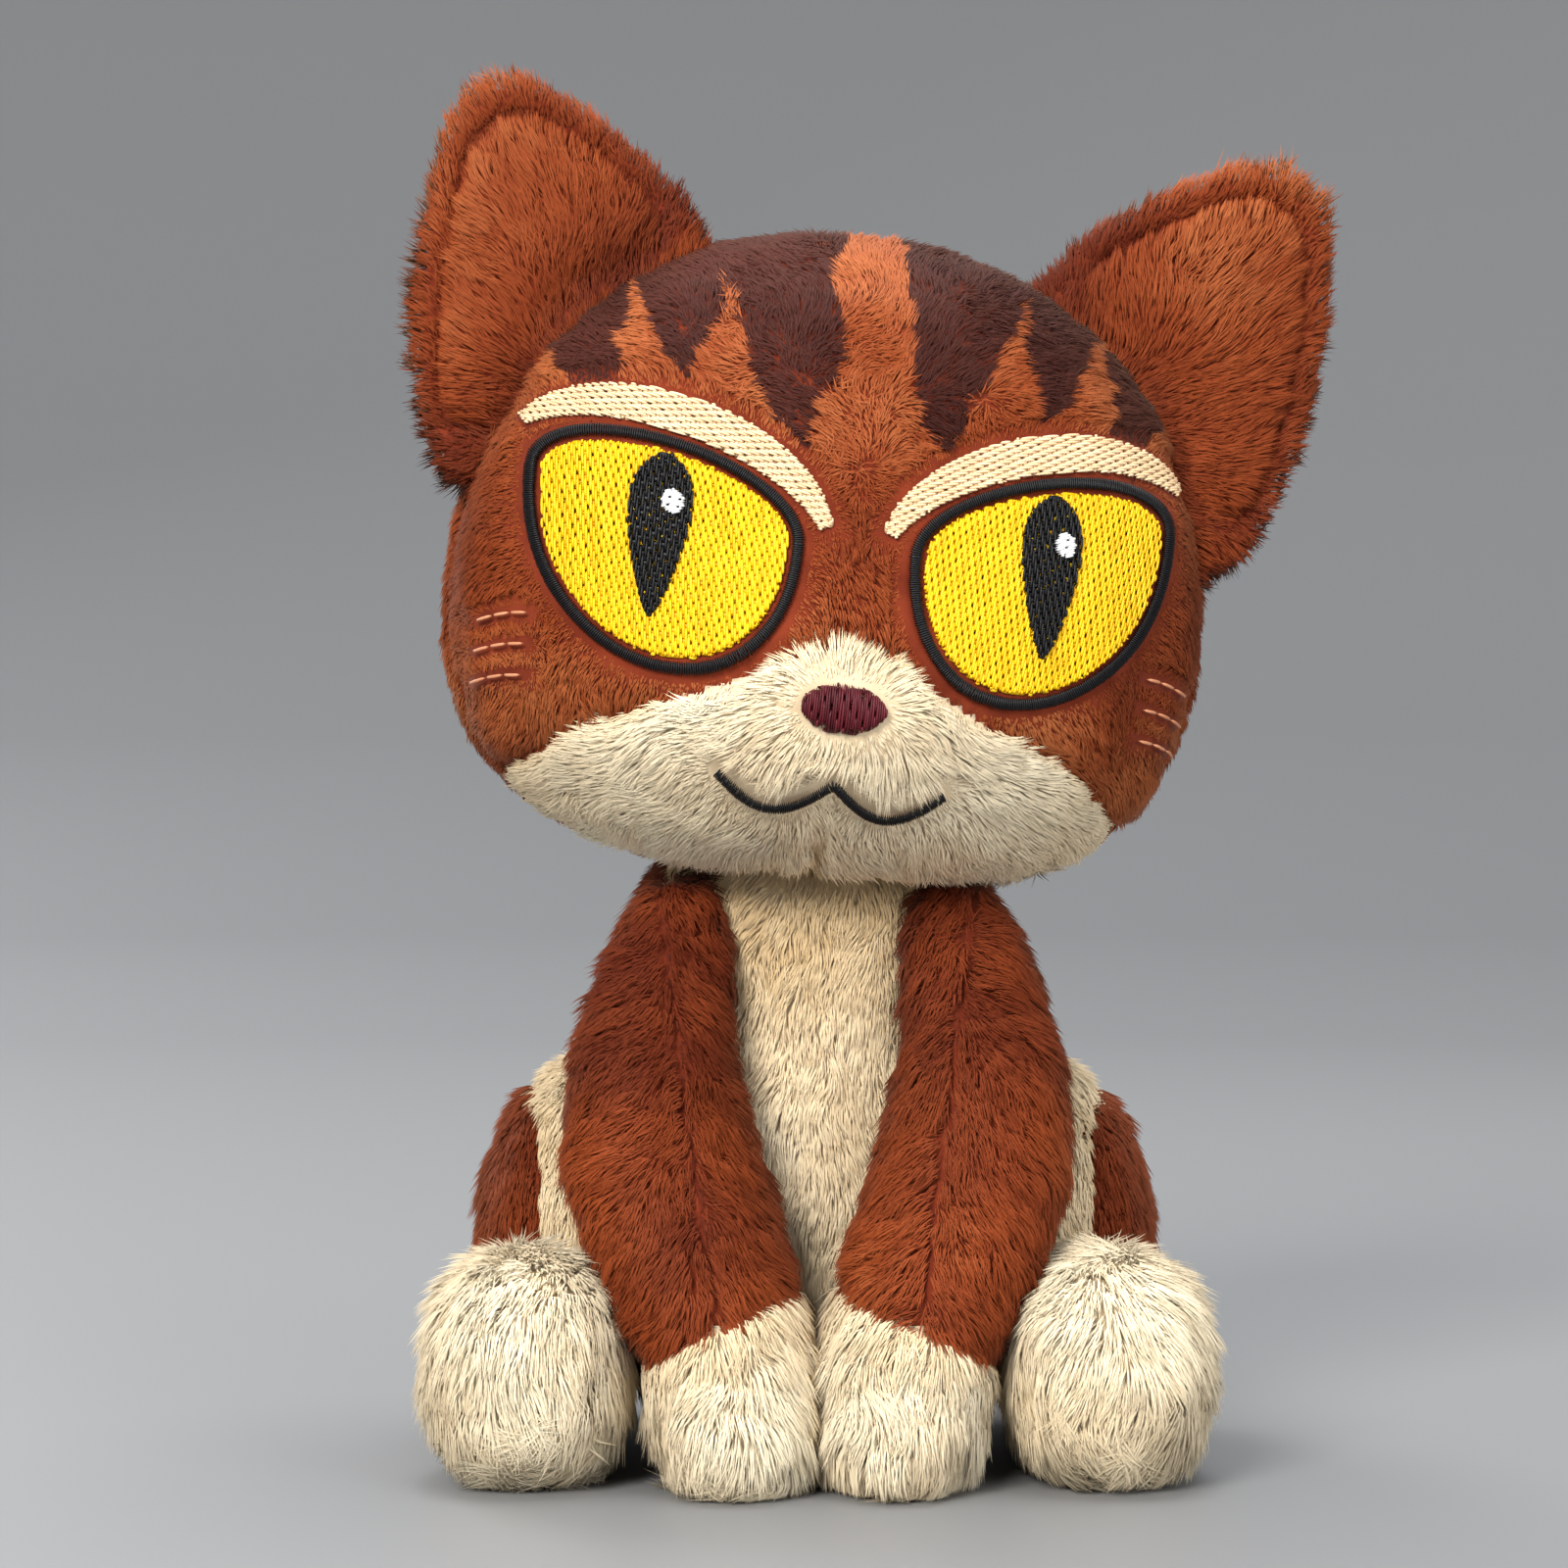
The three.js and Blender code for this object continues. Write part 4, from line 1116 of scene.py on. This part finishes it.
def thread_mesh(name, stitches, width, height, lift, rng):
    """Stitches as threads laid on the face. Each is (start, end) in the head's frame, in millimetres."""
    rings, sides = THREAD["rings"], THREAD["sides"]
    stitches = np.array(stitches, float)
    count = len(stitches)
    t = np.linspace(0, 1, rings + 2)
    places = stitches[:, None, 0] * (1 - t)[None, :, None] + stitches[:, None, 1] * t[None, :, None]
    base, outward = on_face(places.reshape(-1, 2))
    base = base.reshape(count, rings + 2, 3)
    outward = unit(outward).reshape(count, rings + 2, 3)
    arch = np.sin(math.pi * t) ** THREAD["arch"]
    run = unit(base[:, -1] - base[:, 0])[:, None, :]
    side = np.cross(outward, run)
    side /= np.maximum(np.linalg.norm(side, axis=2, keepdims=True), 1e-9)
    middle = base + outward * ((lift + height * (arch - 0.5)) * MM)[None, :, None]
    points = [middle[:, :1]]
    for ring in range(1, rings + 1):
        for corner in range(sides):
            angle = 2 * math.pi * corner / sides
            half = width / 2 * (0.5 + 0.5 * arch[ring])
            around = side[:, ring] * math.cos(angle) * half + outward[:, ring] * math.sin(angle) * height / 2
            points.append((middle[:, ring] + around * MM)[:, None])
    points.append(middle[:, -1:])
    points = np.concatenate(points, axis=1)
    tone = np.clip(0.5 + THREAD["tone_varies"] * (rng.random(count) - 0.5), *THREAD["tone_limits"])
    along = np.concatenate([[t[0]], np.repeat(t[1:-1], sides), [t[-1]]])
    spread = np.concatenate([[0], np.tile(np.linspace(-1, 1, sides) * TONE_SPREAD, rings), [0]])
    palette = np.empty((count, points.shape[1], 2))
    palette[:, :, 0] = PALETTE_AT["root"] + (PALETTE_AT["tip"] - PALETTE_AT["root"]) * along
    palette[:, :, 1] = tone[:, None] + spread
    pattern = []
    last = 1 + rings * sides
    for corner in range(sides):
        following = (corner + 1) % sides
        pattern.append((0, 1 + following, 1 + corner))
        for ring in range(rings - 1):
            low = 1 + ring * sides
            high = low + sides
            pattern.append((low + corner, low + following, high + following))
            pattern.append((low + corner, high + following, high + corner))
        final = last - sides
        pattern.append((last, final + corner, final + following))
    triangles = (np.arange(count)[:, None, None] * (last + 1) + np.array(pattern)).reshape(-1, 3)
    return triangle_mesh(name, points.reshape(-1, 3), triangles, palette.reshape(-1, 2))


def rows_inside(outline, angle, pitch):
    """Parallel rows at an angle, clipped to an outline: (row number, level, start, end) once turned."""
    turn = np.array([[math.cos(angle), -math.sin(angle)], [math.sin(angle), math.cos(angle)]])
    turned = outline @ turn
    rows = []
    low, high = turned[:, 1].min(), turned[:, 1].max()
    for number in range(int((high - low) / pitch)):
        level = low + (number + 0.5) * pitch
        following = np.roll(turned, -1, axis=0)
        crosses = (turned[:, 1] > level) != (following[:, 1] > level)
        a, b = turned[crosses], following[crosses]
        cuts = np.sort(a[:, 0] + (level - a[:, 1]) / (b[:, 1] - a[:, 1]) * (b[:, 0] - a[:, 0]))
        for start, end in zip(cuts[::2], cuts[1::2]):
            rows.append((number, level, start, end))
    return rows, turn


BRICK = 0.37  # a row's shift from the last, as a share of a stitch
SHORTEST_STITCH = 0.35


def fill_stitches(outline, angle, pitch, length):
    """Fill stitching: rows of stitches of one length, each row shifted from the last like bricks."""
    rows, turn = rows_inside(outline, math.radians(angle), pitch)
    stitches = []
    for number, level, start, end in rows:
        shift = ((number * BRICK) % 1) * length
        marks = np.arange(math.floor(start / length) * length + shift, end, length)
        ends = [start, *(mark for mark in marks if mark > start), end]
        for first, second in zip(ends, ends[1:]):
            if second - first > SHORTEST_STITCH:
                stitches.append(((first, level), (second, level)))
    return np.array(stitches) @ turn.T


def travelled_along(line):
    return np.concatenate([[0], np.cumsum(np.linalg.norm(np.diff(line, axis=0), axis=1))])


def at_marks(line, marks):
    """The points of a line at some distances along it."""
    return np.stack([np.interp(marks, travelled_along(line), line[:, axis]) for axis in (0, 1)], axis=1)


SATIN = {"thread": 0.38, "varies": 0.12}


def satin_stitches(line, width, pitch, rng, closed=False):
    """Satin stitching: short stitches straight across a line."""
    route = np.concatenate([line, line[:1]]) if closed else line
    points = at_marks(route, np.arange(0, travelled_along(route)[-1], pitch))
    half_widths = width / 2 * (1 + SATIN["varies"] * (rng.random(len(points)) - 0.5))
    low, high = band(points, half_widths, closed)
    return np.stack([low, high], axis=1)


def run_stitches(line, length):
    """One thread along a line, in stitches of about one length."""
    whole = travelled_along(line)[-1]
    points = at_marks(line, np.linspace(0, whole, max(2, round(whole / length) + 1)))
    return np.stack([points[:-1], points[1:]], axis=1)


def embroider(node, slot, layers, seed):
    """One embroidered feature in place of its CAD node. layers are (stitches, width, height, lift)."""
    rng = np.random.default_rng(SEED + seed)
    meshes = [thread_mesh(node, *layer, rng) for layer in layers]
    joined = bmesh.new()
    for mesh in meshes:
        joined.from_mesh(mesh)
        bpy.data.meshes.remove(mesh)
    mesh = bpy.data.meshes.new(node + "_stitching")
    joined.to_mesh(mesh)
    joined.free()
    mesh.materials.append(thread_materials[slot])
    piece = place_object(node + "_stitching", mesh)
    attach(piece, "head")
    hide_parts(node)


# A layer is its stitches, their width, height and lift. Angles are in degrees, and after them come the pitch
# of the rows and the length of a stitch. Everything else is in millimetres.
UNDERLAY = {"pitch": 0.8, "length": 5, "width": 0.9, "height": 0.3}


def underlay(shape, angle, lift):
    """The coarse layer of stitches under a filled shape."""
    stitches = fill_stitches(shape, angle, UNDERLAY["pitch"], UNDERLAY["length"])
    return stitches, UNDERLAY["width"], UNDERLAY["height"], lift


line_rng = np.random.default_rng(SEED + 300)


def outlined(line, pitch, width, height, lift, closed):
    """The one layer of a satin-stitched line."""
    return [(satin_stitches(line, width, pitch, line_rng, closed), SATIN["thread"], height, lift)]


def embroider_eye(name, side, number):
    shapes = eyes[name]
    iris, patch, pupil = shapes["iris"], shapes["patch"], shapes["pupil"]
    embroider(
        f"eye_{name}_iris", "yellow_thread",
        [underlay(iris, 0, 0.15), (fill_stitches(iris, 90 - 6 * side, 0.4, 3.8), 0.5, 0.4, 0.5)],
        310 + number,
    )
    embroider(
        f"eye_{name}_patch", "cream_thread",
        [underlay(patch, 90, 0.15), (fill_stitches(patch, 12 * side, 0.4, 3.6), 0.46, 0.42, 0.5)],
        320 + number,
    )
    embroider(
        f"eye_{name}_outline", "black_thread",
        outlined(shapes["line"], 0.36, EYE["line"], 0.55, 0.8, True), 330 + number,
    )
    embroider(
        f"eye_{name}_pupil", "black_thread",
        [underlay(pupil, 0, 0.8), (fill_stitches(pupil, 90, 0.42, 3.6), 0.46, 0.42, 1.05)], 340 + number,
    )
    embroider(
        f"eye_{name}_glint", "white_thread",
        [(fill_stitches(shapes["glint"], 20, 0.36, 6), 0.44, 0.6, 1.6)], 350 + number,
    )


for number, (name, side) in enumerate(SIDES.items()):
    embroider_eye(name, side, number)
    for place, level in enumerate(WHISKER["levels"]):
        embroider(
            f"whisker_{name}_{place + 1}", "tan_thread",
            [(run_stitches(whisker_line(side, level), 2.4), 0.55, 0.5, 0.9)], 360 + 10 * number + place,
        )
embroider(
    "nose", "maroon_thread",
    [underlay(nose_shape, 0, 0.3), (fill_stitches(nose_shape, 90, 0.36, 12), 0.44, 0.7, 0.9)], 380,
)
embroider("mouth", "black_thread", outlined(mouth_line, 0.34, MOUTH["line"], 0.7, 1.5, False), 381)

# ---- ears

EAR_GROOVE = {"inside": 4.6, "depth": 1.3 * MM, "width": 1.3}
RIM_POINTS = 90
RIM_SMOOTHING = 4  # points to each side


def rim_of(points):
    """The outline of an ear, over the face, as a smooth closed line."""
    place = in_head(points)[:, [0, 2]]
    middle = place.mean(axis=0)
    away = place - middle
    angle = np.arctan2(away[:, 1], away[:, 0])
    direction = np.floor((angle / (2 * math.pi) + 0.5) * RIM_POINTS).astype(int) % RIM_POINTS
    reach = np.zeros(RIM_POINTS)
    np.maximum.at(reach, direction, np.linalg.norm(away, axis=1))
    reach = np.mean([np.roll(reach, step) for step in range(-RIM_SMOOTHING, RIM_SMOOTHING + 1)], axis=0)
    at = ((np.arange(RIM_POINTS) + 0.5) / RIM_POINTS - 0.5) * 2 * math.pi
    return middle + reach[:, None] * np.stack([np.cos(at), np.sin(at)], axis=1)


def past_groove(points, rim):
    """How far points are inwards of the stitched groove, in millimetres: below 0 on the rim."""
    distance, _ = distance_to(rim, in_head(points)[:, [0, 2]], True)
    return distance - EAR_GROOVE["inside"]


# The distances from the head's skin over which the root of an ear is drawn in, and how far.
EAR_ROOT = {"over": (3.0, 10.0), "tuck": 5.0 * MM}
EAR_GROW = {"left": ((2.0, 0, 0), (0, 0, 3.6)), "right": ((0, 0, 1.5), (2.2, 0, 3.6))}


def tucked_into_head(points):
    """The root of an ear, drawn in through the side seam of the head."""
    moved = points.copy()
    for index, point in enumerate(points):
        near, _, _, distance = head_tree.find_nearest(Vector(point))
        share = 1 - smoothstep(*EAR_ROOT["over"], distance / MM)
        if share > 0:
            moved[index] += (np.array(near) - point) / max(distance, 0.1 * MM) * share * EAR_ROOT["tuck"]
    return moved


FREE_EDGE = (2, 8)  # the distances from the pivot over which an ear comes free of the head
# Strands are longer past the rim's stitched groove and short in it.
EAR_FLUFF = {"over": (-1.0, -4.0), "longer": 0.3, "in_groove": 0.5, "groove_width": 1.1}
# The ear's painted shading: the painted shade at its root, over which distances from the pivot that fades, the
# painted shade in the groove, and how much paler it is everywhere.
EAR_PAINTED_SHADING = {"root": -0.34, "root_over": (4, 26), "groove": -0.2, "all": 0.1}


def in_groove(inner, width):
    return np.exp(-((inner / width) ** 2))


def make_ear(name, side):
    panels = [f"ear_{name}_front", f"ear_{name}_back"]
    fold = joints[f"ear_{name}_fold"]
    pivot = np.array(fold["pos_m"])
    outwards = np.cross(np.array(fold["axis"]), head_back)
    outwards *= np.sign((middle_of(panels[0]) - pivot) @ outwards) / np.linalg.norm(outwards)

    def free_edge(points):
        return smoothstep(*FREE_EDGE, (points - pivot) @ outwards / MM)

    def groove(points):
        inner = past_groove(points, rim_of(points))
        return EAR_GROOVE["depth"] * free_edge(points) * in_groove(inner, EAR_GROOVE["width"])

    def sewn(piece):
        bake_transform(piece)

    skin = stuffed_skin(
        f"ear_{name}_skin", panels, [], 1.6 * MM, rounds=8, puff=0.8 * MM, depth=0.7 * MM,
        grow=EAR_GROW[name], shape=groove, sewn_on=tucked_into_head,
    )
    rim = rim_of(skin["points"])

    def shorten(points):
        inner = past_groove(points, rim)
        fluff = EAR_FLUFF["longer"] * smoothstep(*EAR_FLUFF["over"], inner)
        fluff = fluff - EAR_FLUFF["in_groove"] * in_groove(inner, EAR_FLUFF["groove_width"])
        return 1 + free_edge(points) * fluff

    def painted_shading(points):
        """Painted shade: darkest at the root and in the groove."""
        inner = past_groove(points, rim)
        root = EAR_PAINTED_SHADING["root"] * (1 - smoothstep(*EAR_PAINTED_SHADING["root_over"], (points - pivot) @ outwards / MM))
        return root + EAR_PAINTED_SHADING["groove"] * in_groove(inner, EAR_GROOVE["width"]) + EAR_PAINTED_SHADING["all"]

    base = pivot - outwards * 6 * MM
    coats = {
        panels[0]: ("rust_pile", "ear", away_from(base)),
        panels[1]: ("rust_pile", "ear", away_from(base, drop=0.3)),
    }
    cover(skin, coats, sewn, 500 + side, shorten=shorten, painted_shading=painted_shading)


for name, side in SIDES.items():
    make_ear(name, side)

# ---- torso

TORSO_PANELS = ["chest_panel", "back_panel_left", "back_panel_right", "seat_panel"]
# The painted shade under the head: how deep it is, and from how far to how far below the torso's top it deepens.
TORSO_PAINTED_SHADE = {"neck": -0.4, "from_top": 45 * MM, "to_top": 8 * MM}
torso_skin = stuffed_skin("torso_skin", TORSO_PANELS, ["torso_filling", "bead_bag"], 3 * MM)
torso_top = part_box("chest_panel")[1].z


def torso_keeps(root):
    """No pile high inside the head's socket."""
    return root[:, 2] < torso_top - 2 * MM


def torso_painted_shade(root):
    """Painted shade: darker towards the neck, under the head."""
    low, high = torso_top - TORSO_PAINTED_SHADE["from_top"], torso_top - TORSO_PAINTED_SHADE["to_top"]
    return TORSO_PAINTED_SHADE["neck"] * smoothstep(low, high, root[:, 2])


torso_comb = away_from((neck_pivot[0], neck_pivot[1], torso_top), drop=0.8, reach=0.5)
torso_coats = {panel: ("rust_pile", "plush", torso_comb) for panel in TORSO_PANELS}
torso_coats["chest_panel"] = ("cream_pile", "soft", torso_comb)
torso_coats["seat_panel"] = ("rust_pile", "short", torso_comb)
cover(torso_skin, torso_coats, rides("torso"), 200, keep=torso_keeps, painted_shading=torso_painted_shade)

# ---- legs and tail


def parted(node, spread, ahead):
    """Pile on a paw or foot that hangs down, outwards from a line down its middle, and ahead."""
    low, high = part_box(node)
    middle, half = (low.x + high.x) / 2, (high.x - low.x) / 2

    def comb(points):
        across = spread * np.clip((points[:, 0] - middle) / half, -1, 1)
        return np.stack([across, np.full(len(points), ahead), np.full(len(points), -1.0)], axis=1)

    return comb


# Heights are in millimetres from the shoulder's pivot. The top of the sleeve is drawn in, back and up into
# the side of the torso, and the upper half of the arm is moved outwards.
SHOULDER = {"top": (-24, 2), "in": 3.0, "back": 5.5, "up": 7.5, "upper": (-60, -30), "out": 1.6}
# The arm's painted shading: painted shade all over and more towards the shoulder, painted light on the paw, and
# the heights over which each comes in.
ARM_PAINTED_SHADING = {"all": -0.16, "shoulder": -0.16, "shoulder_over": (-45, -5), "paw": 0.36, "paw_over": (-60, -70)}


def make_front_leg(name, side):
    panels = [f"front_leg_{name}_outer", f"front_leg_{name}_inner", f"front_paw_{name}"]
    pivot = np.array(joints[f"shoulder_{name}"]["pos_m"])

    def height(points):
        return (points[:, 2] - pivot[2]) / MM

    def shoulder(points):
        top = smoothstep(*SHOULDER["top"], height(points))
        upper = smoothstep(*SHOULDER["upper"], height(points)) * (1 - top)
        move = top[:, None] * np.array([-side * SHOULDER["in"], SHOULDER["back"], SHOULDER["up"]])
        move[:, 0] += side * SHOULDER["out"] * upper
        return points + move * MM

    def sewn(piece):
        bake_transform(piece)

    def painted_shading(points):
        """Painted shade all over and deeper towards the shoulder, and painted light on the paw."""
        shoulder_painted_shade = ARM_PAINTED_SHADING["shoulder"] * smoothstep(*ARM_PAINTED_SHADING["shoulder_over"], height(points))
        paw_painted_light = ARM_PAINTED_SHADING["paw"] * smoothstep(*ARM_PAINTED_SHADING["paw_over"], height(points))
        return ARM_PAINTED_SHADING["all"] + shoulder_painted_shade + paw_painted_light

    skin = stuffed_skin(
        f"front_leg_{name}_skin", panels, [f"front_leg_{name}_filling"], 2.4 * MM,
        seam_depth=0.35 * MM, sewn_on=shoulder,
    )
    coats = {
        panels[0]: ("rust_pile", "plush", brushed((0.36 * side, 0.0, -1))),
        panels[1]: ("rust_pile", "plush", brushed((-0.36 * side, 0.0, -1))),
        panels[2]: ("cream_pile", "long", parted(panels[2], 0.7, -0.5)),
    }
    cover(skin, coats, sewn, 600 + side, painted_shading=painted_shading, parting=0.2)


def inside_box_of(node, shrink, roundness=2.3):
    low, high = (np.array(corner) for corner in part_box(node))
    middle = (low + high) / 2
    half = (high - low) / 2 - shrink
    return lambda points: (np.abs((points - middle) / half) ** roundness).sum(axis=1) < 1


# An even painted shift of a part's tone: painted shade below 0, painted light above it.
def even_painted_shading(shift):
    return lambda points: np.full(len(points), shift)


THIGH_GROW = {"left": ((1.5, 0, 0), (0, 0, 3)), "right": ((0, 0, 0), (1.5, 0, 3))}


def make_hind_leg(name, side):
    ride = rides(f"hind_leg_{name}")
    outer, inner = f"thigh_{name}_outer", f"thigh_{name}_inner"
    foot = f"hind_foot_{name}"
    skin = stuffed_skin(
        f"thigh_{name}_skin", [outer, inner], [f"thigh_{name}_filling"], 2.6 * MM,
        grow=THIGH_GROW[name], seam_depth=0.7 * MM,
    )
    comb = away_from(np.array(joints[f"hip_{name}"]["pos_m"]) + UP * 30 * MM, drop=0.8)
    in_foot = inside_box_of(foot, 1 * MM)
    coats = {outer: ("rust_pile", "plush", comb), inner: ("cream_pile", "soft", comb)}
    # The thigh gets an even painted shade.
    cover(skin, coats, ride, 700 + side, keep=lambda root: ~in_foot(root), painted_shading=even_painted_shading(-0.1))
    skin = stuffed_skin(f"foot_{name}_skin", [foot], [f"foot_{name}_filling"], 2.6 * MM)
    coats = {foot: ("cream_pile", "long", parted(foot, 0.9, -0.8))}
    # The foot gets an even painted light.
    cover(skin, coats, ride, 720 + side, painted_shading=even_painted_shading(0.2))


for name, side in SIDES.items():
    make_front_leg(name, side)
    make_hind_leg(name, side)

tail_skin = stuffed_skin("tail_skin", ["tail_cover", "tail_tip"], ["tail_filling"], 2.4 * MM)
tail_comb = away_from(joints["tail_wag"]["pos_m"], drop=0.1)
tail_coats = {"tail_cover": ("rust_pile", "plush", tail_comb), "tail_tip": ("dark_pile", "plush", tail_comb)}
cover(tail_skin, tail_coats, rides("tail"), 800)

# ---- stuffing

WAD = {"voxel": 3.5 * MM, "rounds": 6, "inset": 1.4 * MM, "lumps": 1.2 * MM}
WAD_KINDS = {
    "filling": (plain_material("stuffing_fibre", (240, 238, 230)), 7 * MM),
    "bead_cloth": (plain_material("bead_cloth", (214, 209, 196)), 3 * MM),
}


def make_wad(node, body, slot):
    """A wad of stuffing: the CAD solid, softened and made lumpy inwards."""
    material, lump = WAD_KINDS[slot]
    piece = closed_form(node + "_wad", [node], WAD["voxel"])
    points = relaxed(points_of(piece.data), edges_of(piece.data), WAD["rounds"])
    set_points(piece.data, points)
    lumps = 0.5 + 0.5 * noise(points, lump, SEED + 70)
    set_points(piece.data, points - normals_of(piece.data) * (WAD["inset"] + WAD["lumps"] * lumps)[:, None])
    piece.data.shade_smooth()
    piece.data.materials.append(material)
    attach(piece, body)
    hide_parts(node)


for body, members in frame["record"]["behaviour"]["bodies"].items():
    for node in members:
        if node.endswith("_filling"):
            make_wad(node, body, "filling")
        elif node == "bead_bag":
            make_wad(node, body, "bead_cloth")
